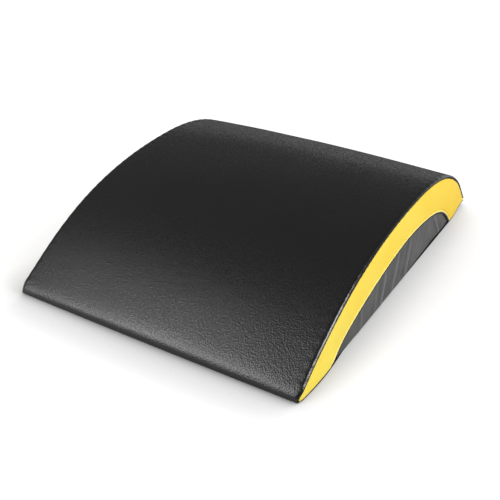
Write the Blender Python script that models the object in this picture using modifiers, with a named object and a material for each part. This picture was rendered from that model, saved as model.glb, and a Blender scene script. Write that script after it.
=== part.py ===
"""Ab mat: a moulded foam hump in a close-fitting sewn cover, closed by a concealed zip along its rear edge.

Metres, +Z up, +Y to the rear. In the side view a place is (back, height): back is measured from the front of
the base, height from the floor. The finished model is shifted so that its box is centred over the origin.
"""

import math

import bmesh
import bpy
from mathutils import Matrix, Vector
from mathutils.geometry import interpolate_bezier

# Body, seen from the side
BODY_WIDTH = 0.305
FRONT_FOOT_BACK = 0.0006
FRONT_LIP_BACK = 0.0055
FRONT_LIP_HEIGHT = 0.0084
HUMP_BACK = 0.2414
HUMP_HEIGHT = 0.0800
REAR_TIP_BACK = 0.4040
REAR_TIP_HEIGHT = 0.0060
FRONT_SLOPE = math.radians(33)
REAR_SLOPE = math.radians(46.8)
LIP_HANDLE_SHARES = (0.5, 0.35)
FRONT_HANDLE_SHARES = (0.28, 0.54)
REAR_HANDLE_SHARES = (0.25, 0.61)

# Body, seen from above
FRONT_DRAW_IN = 0.0012
FRONT_DRAW_RUN = 0.0060
REAR_DRAW_IN = 0.0020
REAR_DRAW_RUN = 0.0450
FOOT_BULGE = 0.0012
FOOT_BULGE_RUN = 0.0700

# Sheets and seams
LEATHER = 0.0012
INSET_FABRIC = 0.0010
BASE_SHEET = 0.0012
SEWN_GAP = 0.0003
EDGE_BAND = 0.0004
EDGE_ROLL = 0.0016
CROWN = 0.0031
LIP_SWELL_RUN = 0.0120
LIP_SWELL_SHARE = 0.17
TOP_SEAM = 0.0012
ARCH_SEAM = 0.0008
CORNER_LIFT = 0.0030
CORNER_LIFT_RUN = 0.0480
CORNER_LIFT_REACH = 0.0130
BASE_REAR_EDGE = 0.0015
SEAM_START = 0.0020

# Arch between the yellow band and the grey fabric
ARCH_FRONT = 0.0557
ARCH_TOP_BACK = 0.2220
ARCH_TOP_HEIGHT = 0.0447
ARCH_REAR = 0.3538
ARCH_FRONT_SLOPE = math.radians(38)
ARCH_REAR_SLOPE = math.radians(47.7)
ARCH_FRONT_HANDLE_SHARES = (0.27, 0.18)
ARCH_REAR_HANDLE_SHARES = (0.22, 0.68)
ARCH_LAP = 0.0050
FRONT_TURN_SHARE = 0.10
REAR_TURN_SHARE = 0.93
FLUSH_HEIGHT = 0.0200
CREASE_DEPTH = 0.0005
CREASE_PITCH = 0.0270
CREASE_LEAN_SHARE = 0.25

# Foam block
FOAM_CLEARANCE = 0.0003
FOAM_FRONT_CLEARANCE = 0.0012
FOAM_REAR_CLEARANCE = 0.0010

# Zip
ZIP_HEIGHT = 0.0055
ZIP_RECESS = 0.0014
TAPE_THICKNESS = 0.00045
TAPE_SIDE_MARGIN = 0.0155
TAPE_END = 0.0270
TAPE_TAIL = 0.0085
CHAIN_WIDTH = 0.0042
CHAIN_THICKNESS = 0.0019
CHAIN_MIDDLE_GAP = 0.0010
TOOTH_PITCH = 0.0026
TOOTH_WIDTH_SHARE = 0.55
TOOTH_DEPTH = 0.0007
STOP_LENGTH = 0.0030
STOP_THICKNESS = 0.0023
STOP_ROUND = 0.0003
RUNNING_GAP = 0.0003
SLIDER_LENGTH = 0.0090
SLIDER_PLATE = 0.0008
SLIDER_NECK = 0.0004
SLIDER_NECK_LENGTH = 0.0020
BRIDGE_WIDTH = 0.0012
BRIDGE_STRAP = 0.0006
BRIDGE_OPENING = 0.0030
BRIDGE_CORNER = 0.0004
PULL_BAR = 0.0008
PULL_LEG = 0.0008
PULL_WIDTH = 0.0038
PULL_LENGTH = 0.0180
PULL_HOLE = 0.0018
UNION_OVERLAP = 0.0002

# Counts
LINE_STEPS = 48
ROUND_STEPS = 9
SEARCH_STEPS = 30


def smooth(share):
    """A share from 0 to 1, eased at both ends."""
    share = min(max(share, 0), 1)
    return share * share * (3 - 2 * share)


def spread(start, end, count):
    """count numbers from start to end, evenly spaced."""
    return [start + (end - start) * i / (count - 1) for i in range(count)]


class Line:
    """A smooth line in the side view, as one or more Bezier stretches, read at a share of its length."""

    def __init__(self, stretches):
        self.points = []
        for stretch in stretches:
            steps = interpolate_bezier(*stretch, LINE_STEPS)
            self.points += steps[1:] if self.points else steps
        self.reached = [0]
        for here, there in zip(self.points, self.points[1:]):
            self.reached.append(self.reached[-1] + (there - here).length)
        self.length = self.reached[-1]

    def at(self, share):
        """The point there, and the unit normal on the outer side."""
        reach = share * self.length
        i = 0
        while i < len(self.points) - 2 and self.reached[i + 1] < reach:
            i += 1
        here, there = self.points[i], self.points[i + 1]
        step = (there - here).normalized()
        return here + step * (reach - self.reached[i]), Vector((-step.y, step.x))

    def share_at(self, length):
        return length / self.length

    def height_at(self, back, lift=lambda share: 0):
        """The height of the line, moved out by lift(share), at this distance back."""
        low, high = 0, 1
        for _ in range(SEARCH_STEPS):
            share = (low + high) / 2
            point, normal = self.at(share)
            point = point + normal * lift(share)
            if point.x < back:
                low = share
            else:
                high = share
        return point.y


def rise(foot, foot_slope, top, handle_shares):
    """A Bezier stretch that leaves foot at foot_slope and reaches top level."""
    run = abs(top.x - foot.x)
    toward = math.copysign(1, top.x - foot.x)
    leave = Vector((toward * math.cos(foot_slope), math.sin(foot_slope)))
    arrive = Vector((-toward, 0))
    return foot, foot + leave * run * handle_shares[0], top + arrive * run * handle_shares[1], top


def seam_line():
    """The sewn seam along the top of a side, from the front foot over the hump to the rear tip."""
    foot = Vector((FRONT_FOOT_BACK, BASE_SHEET + SEWN_GAP))
    lip = Vector((FRONT_LIP_BACK, FRONT_LIP_HEIGHT))
    hump = Vector((HUMP_BACK, HUMP_HEIGHT))
    tip = Vector((REAR_TIP_BACK, REAR_TIP_HEIGHT))
    climb = lip.y - foot.y
    up = Vector((0, climb * LIP_HANDLE_SHARES[0]))
    back = Vector((math.cos(FRONT_SLOPE), math.sin(FRONT_SLOPE))) * climb * LIP_HANDLE_SHARES[1]
    return Line(
        [
            (foot, foot + up, lip - back, lip),
            rise(lip, FRONT_SLOPE, hump, FRONT_HANDLE_SHARES),
            tuple(reversed(rise(tip, REAR_SLOPE, hump, REAR_HANDLE_SHARES))),
        ]
    )


def arch_line():
    """The lower edge of the yellow band over the grey fabric."""
    front = Vector((ARCH_FRONT, 0))
    top = Vector((ARCH_TOP_BACK, ARCH_TOP_HEIGHT))
    rear = Vector((ARCH_REAR, 0))
    return Line(
        [
            rise(front, ARCH_FRONT_SLOPE, top, ARCH_FRONT_HANDLE_SHARES),
            tuple(reversed(rise(rear, ARCH_REAR_SLOPE, top, ARCH_REAR_HANDLE_SHARES))),
        ]
    )


SEAM = seam_line()
ARCH = arch_line()
# The seam's centre line is this far from the panel edges on either side of it.
SEAM_REACH = TOP_SEAM / 2 + SEWN_GAP
# The cover and the seam bend at the same places. The cover goes on to the foot, below the seam's start.
SEAM_STATIONS = spread(SEAM.share_at(SEAM_START), SEAM.share_at(LIP_SWELL_RUN), 5)
SEAM_STATIONS += spread(SEAM.share_at(LIP_SWELL_RUN), 1, 36)[1:]


def half_width(back, height):
    """Half the body's width there: the corners are drawn in, and the front foot bulges a little."""
    front = FRONT_DRAW_IN * (1 - smooth(back / FRONT_DRAW_RUN))
    rear = REAR_DRAW_IN * smooth((back - REAR_TIP_BACK + REAR_DRAW_RUN) / REAR_DRAW_RUN)
    along = min(max(back / FOOT_BULGE_RUN, 0), 1)
    bulge = FOOT_BULGE * math.sin(math.pi * along) * max(0, 1 - height / HUMP_HEIGHT)
    return BODY_WIDTH / 2 - front - rear + bulge


def base_lift(across, back):
    """How far the base curls up from the floor at its rear corners."""
    edge = half_width(back, 0)
    sideways = smooth((across - edge + CORNER_LIFT_REACH) / CORNER_LIFT_REACH)
    lengthways = smooth((back - REAR_TIP_BACK + CORNER_LIFT_RUN) / CORNER_LIFT_RUN)
    return CORNER_LIFT * sideways * lengthways


def swell(share):
    """The share of the cover's roll and crown left near the front foot, where the base holds it straight."""
    along = smooth(share * SEAM.length / LIP_SWELL_RUN)
    return LIP_SWELL_SHARE + (1 - LIP_SWELL_SHARE) * along


def crown(across_share):
    """The crown of the top at a share of the half width."""
    return CROWN * (1 - across_share * across_share)


def material(name, colour, roughness, metallic=0.0):
    """A plain finish of an sRGB hex colour."""
    made = bpy.data.materials.new(name)
    made.use_nodes = True
    finish = made.node_tree.nodes["Principled BSDF"]
    channels = [int(colour[i : i + 2], 16) / 255 for i in (1, 3, 5)]
    linear = [c / 12.92 if c <= 0.04045 else ((c + 0.055) / 1.055) ** 2.4 for c in channels]
    finish.inputs["Base Color"].default_value = (*linear, 1)
    finish.inputs["Roughness"].default_value = roughness
    finish.inputs["Metallic"].default_value = metallic
    return made


def add(name, data, finish, collection):
    """A new object of this mesh or curve."""
    made = bpy.data.objects.new(name, data)
    data.materials.append(finish)
    collection.objects.link(made)
    return made


def mapped_grid(columns, rows, place):
    """An open mesh of columns by rows points, each put where place(column, row) says."""
    grid = bmesh.new()
    bmesh.ops.create_grid(grid, x_segments=columns - 1, y_segments=rows - 1, size=1)
    for vertex in grid.verts:
        column = round((vertex.co.x + 1) / 2 * (columns - 1))
        row = round((vertex.co.y + 1) / 2 * (rows - 1))
        vertex.co = place(column, row)
    return grid


def sheet(name, columns, rows, place, thickness, finish, collection):
    """A panel of sheet material: its outer face is the mapped grid, and its thickness lies inside."""
    grid = mapped_grid(columns, rows, place)
    mesh = bpy.data.meshes.new(name)
    grid.to_mesh(mesh)
    grid.free()
    mesh.shade_smooth()
    made = add(name, mesh, finish, collection)
    solidify = made.modifiers.new("thickness", "SOLIDIFY")
    solidify.thickness = thickness
    solidify.offset = -1
    solidify.use_even_offset = True
    return made


def cord(name, points, diameter, finish, collection):
    """A round cord through these points."""
    curve = bpy.data.curves.new(name, "CURVE")
    curve.dimensions = "3D"
    curve.bevel_depth = diameter / 2
    curve.bevel_resolution = 1
    curve.use_fill_caps = True
    spline = curve.splines.new("POLY")
    spline.points.add(len(points) - 1)
    for place, point in zip(spline.points, points):
        place.co = (*point, 1)
    return add(name, curve, finish, collection)


def plate(name, outlines, thickness, turn, finish, collection):
    """Flat outlines, filled, made thickness deep and then turned. An outline inside another is a hole."""
    curve = bpy.data.curves.new(name, "CURVE")
    curve.dimensions = "2D"
    curve.fill_mode = "BOTH"
    curve.extrude = thickness / 2
    for outline in outlines:
        spline = curve.splines.new("POLY")
        spline.points.add(len(outline) - 1)
        spline.use_cyclic_u = True
        for place, (x, y) in zip(spline.points, outline):
            place.co = (x, y, 0, 1)
    made = add(name, curve, finish, collection)
    made.matrix_world = turn
    return made


def as_mesh(made, collection):
    """The same shape as a mesh with its caps welded."""
    graph = bpy.context.evaluated_depsgraph_get()
    mesh = bpy.data.meshes.new_from_object(made.evaluated_get(graph))
    welded = bmesh.new()
    welded.from_mesh(mesh)
    bmesh.ops.remove_doubles(welded, verts=welded.verts, dist=UNION_OVERLAP / 100)
    welded.transform(made.matrix_world)
    welded.to_mesh(mesh)
    welded.free()
    name, finish = made.name, made.data.materials[0]
    bpy.data.objects.remove(made)
    mesh.materials.clear()
    return add(name, mesh, finish, collection)


def join(made, helper):
    """helper's shape joined to made by a Boolean."""
    union = made.modifiers.new(helper.name, "BOOLEAN")
    union.operation = "UNION"
    union.solver = "EXACT"
    union.object = helper


def rectangle(left, right, low, high):
    return [(left, low), (right, low), (right, high), (left, high)]


def make_top_cover(finish, collection):
    """The black sheet over the front lip, the hump and down the rear, rolled over both side edges."""
    shares = [0] + SEAM_STATIONS
    turns = spread(0, math.pi / 2, 4)
    roll = [(-1, 0, 0, 0)]
    for turn in turns:
        roll.append((-1, EDGE_ROLL * (1 - math.cos(turn)), EDGE_BAND, EDGE_ROLL * math.sin(turn)))
    middle = [(across, EDGE_ROLL, EDGE_BAND, EDGE_ROLL + crown(across)) for across in spread(-1, 1, 7)[1:-1]]
    columns = roll + middle + [(-across, *rest) for across, *rest in reversed(roll)]

    def place(column, row):
        across, inset, band, bulge = columns[column]
        point, normal = SEAM.at(shares[row])
        point = point + normal * (SEAM_REACH + band + bulge * swell(shares[row]))
        x = across * (half_width(point.x, point.y) - inset)
        return x, point.x, point.y

    return sheet("top_cover", len(columns), len(shares), place, LEATHER, finish, collection)


def foot_height(back):
    """The lowest edge of a side panel, just above the base."""
    return base_lift(half_width(back, 0), back) + BASE_SHEET + SEWN_GAP


def make_side_panel(name, side, finish, collection):
    """The yellow band of one side, with a foot at each end."""
    start = SEAM_STATIONS[0]
    outer = spread(start, FRONT_TURN_SHARE, 6)
    outer += spread(FRONT_TURN_SHARE, REAR_TURN_SHARE, 25)[1:]
    outer += spread(REAR_TURN_SHARE, 1, 6)[1:]
    front_tip = SEAM.at(start)[0].x + SEAM_REACH
    rear_tip = REAR_TIP_BACK - SEAM_REACH
    inner = [Vector((back, foot_height(back))) for back in spread(front_tip, ARCH_FRONT, 6)]
    for share in spread(0, 1, 25)[1:-1]:
        point = ARCH.at(share)[0]
        inner.append(Vector((point.x, max(point.y, foot_height(point.x)))))
    inner += [Vector((back, foot_height(back))) for back in spread(ARCH_REAR, rear_tip, 6)]
    rows = 4

    def place(column, row):
        column = column if side > 0 else len(outer) - 1 - column
        point, normal = SEAM.at(outer[column])
        edge = point - normal * SEAM_REACH
        point = inner[column].lerp(edge, row / (rows - 1))
        return side * half_width(point.x, point.y), point.x, point.y

    return sheet(name, len(outer), rows, place, LEATHER, finish, collection)


def inset_depth(back, height):
    """How far the grey fabric lies behind the band's face: lapped under it at the arch, flush at the base."""
    arch_height = max(ARCH.height_at(back), BASE_SHEET)
    hang = min(height / arch_height, 1)
    bow = smooth(arch_height / FLUSH_HEIGHT) * (1 - smooth(hang))
    lapped = (LEATHER + SEWN_GAP) * (1 - bow)
    along = (back - height * CREASE_LEAN_SHARE) / CREASE_PITCH
    slack = CREASE_DEPTH * (1 - math.cos(2 * math.pi * along)) / 2 * hang * (1 - hang) * 4
    return lapped + slack


def make_side_inset(name, side, finish, collection):
    """The slack grey fabric under the arch of one side."""
    tops = [point + normal * ARCH_LAP for point, normal in (ARCH.at(share) for share in spread(0, 1, 31))]
    rows = 7

    def place(column, row):
        top = tops[column if side > 0 else len(tops) - 1 - column]
        foot = foot_height(top.x)
        knee_share = (rows - 2) / (rows - 1)
        knee = max(ARCH.height_at(top.x), foot + (top.y - foot) * knee_share)
        height = top.y if row == rows - 1 else foot + (knee - foot) * row / (rows - 2)
        return side * (half_width(top.x, height) - inset_depth(top.x, height)), top.x, height

    return sheet(name, len(tops), rows, place, INSET_FABRIC, finish, collection)


def make_top_seam(name, side, finish, collection):
    points = []
    for share in SEAM_STATIONS:
        point = SEAM.at(share)[0]
        x = half_width(point.x, point.y) - SEAM_REACH
        points.append((side * x, point.x, point.y))
    return cord(name, points, TOP_SEAM, finish, collection)


def make_arch_seam(name, side, finish, collection):
    """The sewn line just under the band's lower edge, on the face of the grey fabric."""
    reach = ARCH_SEAM / 2 + SEWN_GAP
    points = []
    for share in spread(0, 1, 60):
        point, normal = ARCH.at(share)
        point = point - normal * reach
        if point.y > foot_height(point.x) + reach:
            depth = inset_depth(point.x, point.y)
            x = half_width(point.x, point.y) - depth + SEWN_GAP + ARCH_SEAM / 2
            points.append((side * x, point.x, point.y))
    return cord(name, points, ARCH_SEAM, finish, collection)


def make_base_panel(finish, collection):
    """The sheet that lies on the floor, curled up a little at its rear corners."""
    curl_start_share = 1 - CORNER_LIFT_REACH / (BODY_WIDTH / 2)
    curl = spread(curl_start_share, 1, 4)
    flat = spread(-curl_start_share, curl_start_share, 5)[1:-1]
    across = [-share for share in reversed(curl)] + flat + curl
    rear_start = REAR_TIP_BACK - CORNER_LIFT_RUN
    back = spread(0, FRONT_DRAW_RUN, 4)
    back += spread(FRONT_DRAW_RUN, FOOT_BULGE_RUN, 5)[1:]
    back += spread(FOOT_BULGE_RUN, rear_start, 4)[1:]
    back += spread(rear_start, REAR_TIP_BACK + BASE_REAR_EDGE, 9)[1:]

    def place(column, row):
        # The outer face is the underside, so the grid runs from right to left.
        x = -across[column] * half_width(back[row], 0)
        return x, back[row], base_lift(abs(x), back[row])

    return sheet("base_panel", len(across), len(back), place, BASE_SHEET, finish, collection)


def make_foam_core(finish, collection):
    """The moulded block: it follows the cover above, the panels beside it and the zip's tapes behind it."""
    columns, rows = 11, 30
    front_end = FRONT_FOOT_BACK + LEATHER + FOAM_FRONT_CLEARANCE
    rear_end = ZIP_PLANE - SLIDER_REACH - FOAM_REAR_CLEARANCE
    tape_end = ZIP_PLANE - TAPE_TAIL - TAPE_THICKNESS
    side_reach = LEATHER + SEWN_GAP + INSET_FABRIC + CREASE_DEPTH + FOAM_CLEARANCE
    stations = spread(front_end, FRONT_DRAW_RUN, 4)
    stations += spread(FRONT_DRAW_RUN, tape_end - SEWN_GAP, rows - 6)[1:]
    stations += spread(tape_end, rear_end, 3)
    block = bmesh.new()
    bmesh.ops.create_cube(block, size=2)
    for axis, cuts in ((0, columns - 2), (1, len(stations) - 2)):
        along = [e for e in block.edges if abs(e.verts[0].co[axis] - e.verts[1].co[axis]) > 1]
        bmesh.ops.subdivide_edges(block, edges=along, cuts=cuts, use_grid_fill=True)
    for vertex in block.verts:
        across, slot, top = vertex.co.x, vertex.co.y, vertex.co.z > 0
        back = stations[round((slot + 1) / 2 * (len(stations) - 1))]
        tape = TAPE_THICKNESS + SEWN_GAP if back >= tape_end else 0
        skin = LEATHER + FOAM_CLEARANCE + tape

        def lift(share):
            return SEAM_REACH + EDGE_BAND + (EDGE_ROLL + crown(across)) * swell(share) - skin

        high = SEAM.height_at(back, lift)
        x = across * (half_width(back, high) - side_reach)
        low = base_lift(abs(x) + side_reach, back) + BASE_SHEET + FOAM_CLEARANCE + tape
        vertex.co = (x, back, high if top else low)
    mesh = bpy.data.meshes.new("foam_core")
    block.to_mesh(mesh)
    block.free()
    return add("foam_core", mesh, finish, collection)


def make_tape(name, upper, finish, collection):
    """One side of the zip's tape: a web beside the teeth, and a tail between the foam and the panel."""
    edge = CHAIN_WIDTH / 2 + SEWN_GAP
    depth = LEATHER + SEWN_GAP + TAPE_THICKNESS / 2
    columns = spread(-TAPE_LENGTH / 2, TAPE_LENGTH / 2, 15)
    half = half_width(REAR_TIP_BACK, REAR_TIP_HEIGHT)
    lying = BASE_SHEET + SEWN_GAP + TAPE_THICKNESS / 2

    def place(column, row):
        x = columns[column]
        inside = SEAM_REACH + EDGE_BAND + EDGE_ROLL + crown(x / half) - depth
        web_end = ZIP_HEIGHT + (edge if upper else -edge)
        back = ZIP_PLANE - (TAPE_TAIL if row == 2 else 0)
        height = SEAM.height_at(back, lambda share: inside) if upper else lying
        return x, back, web_end if row == 0 else height

    tape = sheet(name, len(columns), 3, place, TAPE_THICKNESS, finish, collection)
    tape.modifiers["thickness"].offset = 0
    return tape


def make_teeth(name, upper, finish, collection):
    """One row of the zip: a bead on the tape's edge, with its teeth towards the middle."""
    side = 1 if upper else -1
    outer = CHAIN_WIDTH / 2
    tip = CHAIN_MIDDLE_GAP / 2
    bead = tip + TOOTH_DEPTH
    end = ZIP_LENGTH / 2
    outline = [(-end, side * outer), (end, side * outer), (end, side * bead)]
    shift = 0 if upper else TOOTH_PITCH / 2
    tooth = TOOTH_PITCH * TOOTH_WIDTH_SHARE
    count = int((ZIP_LENGTH - TOOTH_PITCH) / TOOTH_PITCH)
    for i in range(count):
        right = end - shift - TOOTH_PITCH * (i + 1 - TOOTH_WIDTH_SHARE)
        left = right - tooth
        outline += [(right, side * bead), (right, side * tip), (left, side * tip), (left, side * bead)]
    outline.append((-end, side * bead))
    teeth = plate(name, [outline], CHAIN_THICKNESS, SIDE_ON, finish, collection)
    teeth.location = (0, ZIP_PLANE, ZIP_HEIGHT)
    return teeth


def make_stop(name, side, finish, collection):
    """The block at one end of the teeth that stops the slider."""
    block = bmesh.new()
    size = Matrix.Diagonal((STOP_LENGTH, STOP_THICKNESS, CHAIN_WIDTH, 1))
    bmesh.ops.create_cube(block, size=1, matrix=size)
    mesh = bpy.data.meshes.new(name)
    block.to_mesh(mesh)
    block.free()
    stop = add(name, mesh, finish, collection)
    stop.location = (side * (ZIP_LENGTH / 2 + SEWN_GAP + STOP_LENGTH / 2), ZIP_PLANE, ZIP_HEIGHT)
    bevel = stop.modifiers.new("round", "BEVEL")
    bevel.width = STOP_ROUND
    bevel.segments = 2
    return stop


def make_slider(finish, collection, cutters):
    """The slider: two plates with flanges, a neck between the rows of teeth, and the bridge for the pull."""
    cavity = CHAIN_WIDTH / 2 + RUNNING_GAP
    flange = cavity + SLIDER_PLATE
    inner = CHAIN_THICKNESS / 2 + RUNNING_GAP
    slot = TAPE_THICKNESS / 2 + RUNNING_GAP
    channel = [(inner, -cavity), (slot, -cavity), (slot, -flange), (SLIDER_REACH, -flange)]
    channel += [(y, -z) for y, z in reversed(channel)]
    mirrored = [(-y, z) for y, z in reversed(channel)]
    slider = as_mesh(plate("zip_slider", [channel], SLIDER_LENGTH, END_ON, finish, collection), collection)
    back_plate = plate("slider_back_plate", [mirrored], SLIDER_LENGTH, END_ON, finish, cutters)
    depth = inner + UNION_OVERLAP
    right = SLIDER_LENGTH / 2 - UNION_OVERLAP
    neck_outline = rectangle(right - SLIDER_NECK_LENGTH, right, -depth, depth)
    neck = plate("slider_neck", [neck_outline], SLIDER_NECK, FLAT, finish, cutters)
    opening = BRIDGE_OPENING / 2
    post = opening + BRIDGE_STRAP
    foot, crest = SLIDER_REACH - UNION_OVERLAP, BRIDGE_UNDERSIDE + BRIDGE_STRAP
    bridge_outline = [(-post, foot), (-opening, foot), (-opening, BRIDGE_UNDERSIDE)]
    bridge_outline += [(opening, BRIDGE_UNDERSIDE), (opening, foot), (post, foot)]
    bridge_outline += [(post, crest - BRIDGE_CORNER), (post - BRIDGE_CORNER, crest)]
    bridge_outline += [(BRIDGE_CORNER - post, crest), (-post, crest - BRIDGE_CORNER)]
    bridge = plate("slider_bridge", [bridge_outline], BRIDGE_WIDTH, FLAT, finish, cutters)
    for helper in (neck, back_plate, bridge):
        helper = as_mesh(helper, cutters)
        helper.parent = slider
        helper.hide_render = True
        helper.display_type = "WIRE"
        join(slider, helper)
    slider.location = (SLIDER_REST, ZIP_PLANE, ZIP_HEIGHT)
    return slider


def make_pull(slider, finish, collection):
    """The pull tab: a bar under the slider's bridge, two legs beside it and a flat grip with a hole."""
    bar = PULL_BAR / 2
    post = BRIDGE_OPENING / 2 + BRIDGE_STRAP
    clear = math.hypot(post, BRIDGE_UNDERSIDE + BRIDGE_STRAP - PULL_AXIS) + RUNNING_GAP
    leg_inner = BRIDGE_WIDTH / 2 + RUNNING_GAP
    leg_outer = leg_inner + PULL_LEG
    grip = PULL_WIDTH / 2
    turns = spread(math.pi / 2, -math.pi / 2, ROUND_STEPS)
    tip = bar - PULL_LENGTH + grip
    outline = [(tip - grip * math.cos(turn), grip * math.sin(turn)) for turn in turns]
    outline += [(-clear, -grip), (-clear, -leg_outer), (bar, -leg_outer)]
    outline += [(bar, leg_outer), (-clear, leg_outer), (-clear, grip)]
    window = rectangle(-clear, -bar, -leg_inner, leg_inner)
    ring = [2 * math.pi * i / (2 * ROUND_STEPS) for i in range(2 * ROUND_STEPS)]
    hole = [(tip + PULL_HOLE / 2 * math.cos(turn), PULL_HOLE / 2 * math.sin(turn)) for turn in ring]
    tab = plate("zip_pull", [outline, window, hole], PULL_BAR, SIDE_ON, finish, collection)
    pull = as_mesh(tab, collection)
    pull.location = (SLIDER_REST, ZIP_PLANE + PULL_AXIS, ZIP_HEIGHT)
    return pull


# Worked out from the sizes above
TAPE_LENGTH = BODY_WIDTH - 2 * TAPE_SIDE_MARGIN
ZIP_LENGTH = TAPE_LENGTH - 2 * TAPE_END
ZIP_PLANE = REAR_TIP_BACK - ZIP_RECESS
SLIDER_REACH = CHAIN_THICKNESS / 2 + RUNNING_GAP + SLIDER_PLATE
SLIDER_REST = ZIP_LENGTH / 2 - SLIDER_LENGTH / 2
# The pull's square bar turns in the bridge, so it needs room for its corner.
PULL_BAR_CORNER = PULL_BAR * math.sqrt(0.5)
PULL_AXIS = SLIDER_REACH + RUNNING_GAP + PULL_BAR_CORNER
BRIDGE_UNDERSIDE = PULL_AXIS + PULL_BAR_CORNER + RUNNING_GAP

# How a flat outline is turned: lying flat, side on to the rear, or end on to the right
FLAT = Matrix.Identity(4)
SIDE_ON = Matrix.Rotation(math.radians(90), 4, "X")
END_ON = Matrix.Rotation(math.radians(90), 4, "Z") @ SIDE_ON


def main():
    for old in list(bpy.data.objects):
        bpy.data.objects.remove(old)
    scene = bpy.context.scene.collection
    mat = bpy.data.collections.new("ab_mat")
    cutters = bpy.data.collections.new("cutters")
    for collection in (mat, cutters):
        scene.children.link(collection)
    cutters.hide_render = True

    black_leather = material("black_leather", "#2a2a2b", 0.5)
    yellow_leather = material("yellow_leather", "#fede48", 0.55)
    grey_fabric = material("grey_fabric", "#5b5c5f", 0.85)
    black_thread = material("black_thread", "#15161c", 0.8)
    base_fabric = material("base_fabric", "#1f1f20", 0.9)
    foam = material("foam", "#3b3c40", 0.95)
    zip_tape = material("zip_tape", "#17171a", 0.85)
    zip_plastic = material("zip_plastic", "#1b1b1d", 0.45)
    zip_metal = material("zip_metal", "#2c2c2e", 0.35, 1.0)

    cover = make_top_cover(black_leather, mat)
    make_foam_core(foam, mat)
    make_base_panel(base_fabric, mat)
    for hand, side in (("right", 1), ("left", -1)):
        make_side_panel(f"side_panel_{hand}", side, yellow_leather, mat)
        make_side_inset(f"side_inset_{hand}", side, grey_fabric, mat)
        make_top_seam(f"top_seam_{hand}", side, black_thread, mat)
        make_arch_seam(f"arch_seam_{hand}", side, black_thread, mat)
        make_stop(f"zip_end_stop_{hand}", side, zip_metal, mat)
    for level, upper in (("upper", True), ("lower", False)):
        make_tape(f"zip_tape_{level}", upper, zip_tape, mat)
        make_teeth(f"zip_teeth_{level}", upper, zip_plastic, mat)
    slider = make_slider(zip_metal, mat, cutters)
    make_pull(slider, zip_metal, mat)

    # Every piece hangs on one empty that centres the model's box over the origin.
    backs = [vertex.co.y for vertex in cover.data.vertices]
    centre = bpy.data.objects.new("ab_mat_centre", None)
    mat.objects.link(centre)
    centre.location.y = -(min(backs) + max(backs)) / 2
    for piece in mat.objects:
        if piece != centre and piece.parent is None:
            piece.parent = centre
    bpy.context.view_layer.update()
    for piece in (slider, bpy.data.objects["zip_pull"]):
        print(piece.name, "turns or slides at", [round(c, 5) for c in piece.matrix_world.translation])


main()
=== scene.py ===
import math

import bmesh
import bpy
import numpy as np
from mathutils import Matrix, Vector, noise


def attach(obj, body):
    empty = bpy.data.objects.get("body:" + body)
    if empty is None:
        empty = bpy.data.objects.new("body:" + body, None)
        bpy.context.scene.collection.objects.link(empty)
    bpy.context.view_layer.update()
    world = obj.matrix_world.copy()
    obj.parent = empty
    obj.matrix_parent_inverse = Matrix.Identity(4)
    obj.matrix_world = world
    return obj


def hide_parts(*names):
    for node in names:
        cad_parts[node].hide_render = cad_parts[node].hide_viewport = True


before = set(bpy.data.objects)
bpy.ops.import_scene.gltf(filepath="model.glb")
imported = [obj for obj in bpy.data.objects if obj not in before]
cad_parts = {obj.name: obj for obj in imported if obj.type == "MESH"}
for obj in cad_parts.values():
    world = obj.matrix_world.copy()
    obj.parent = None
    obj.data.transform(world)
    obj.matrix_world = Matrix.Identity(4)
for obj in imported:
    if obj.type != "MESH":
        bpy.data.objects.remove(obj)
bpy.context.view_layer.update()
mm = 0.001
print("frame loaded:", len(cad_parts), "nodes")


# Small tools

def smoothStep(share):
    share = np.clip(share, 0, 1)
    return share * share * (3 - 2 * share)


def unit(vectors):
    return vectors / np.maximum(np.linalg.norm(vectors, axis=-1, keepdims=True), 1e-12)


def lengthAlong(points):
    steps = np.linalg.norm(np.diff(points, axis=0), axis=1)
    return np.concatenate([[0], np.cumsum(steps)])


def readAt(spots, reached, values):
    # the values at these lengths along a line, where reached is the length at each of its points
    return np.stack([np.interp(spots, reached, column) for column in values.T], -1)


def measured(points):
    reached = lengthAlong(points)
    return {"points": points, "reached": reached, "length": reached[-1]}


def makeLine(stretches, steps=400):
    # Bezier stretches joined into one line in the side view, with the length reached at each point
    t = np.linspace(0, 1, steps)[:, None]
    points = []
    for a, b, c, d in stretches:
        piece = (1 - t) ** 3 * a + 3 * (1 - t) ** 2 * t * b + 3 * (1 - t) * t * t * c + t ** 3 * d
        points.append(piece[1:] if points else piece)
    return measured(np.concatenate(points))


def lineAt(line, share):
    # points and outer normals of the line at these shares of its length
    reach = np.asarray(share) * line["length"]
    tangents = unit(np.gradient(line["points"], line["reached"], axis=0))
    along = unit(readAt(reach, line["reached"], tangents))
    normals = np.stack([-along[..., 1], along[..., 0]], -1)
    return readAt(reach, line["reached"], line["points"]), normals


def rise(foot, slope, top, shares):
    # one Bezier stretch that leaves the foot at this slope and arrives level at the top
    run = abs(top[0] - foot[0])
    toward = math.copysign(1, top[0] - foot[0])
    leave = np.array([toward * math.cos(slope), math.sin(slope)])
    return [foot, foot + leave * run * shares[0], top - np.array([toward, 0]) * run * shares[1], top]


def roundedOff(away, radius):
    # how far a rounded edge falls back, at this distance in from the edge
    return radius - np.sqrt(np.maximum(radius ** 2 - np.maximum(radius - away, 0) ** 2, 0))


def unevenness(points, size, seed=0.0):
    # smooth noise from -1 to 1 whose bumps are about size metres across
    flat = points.reshape(-1, 3) / size + seed
    return np.array([noise.noise(Vector(p)) for p in flat]).reshape(points.shape[:-1])


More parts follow.
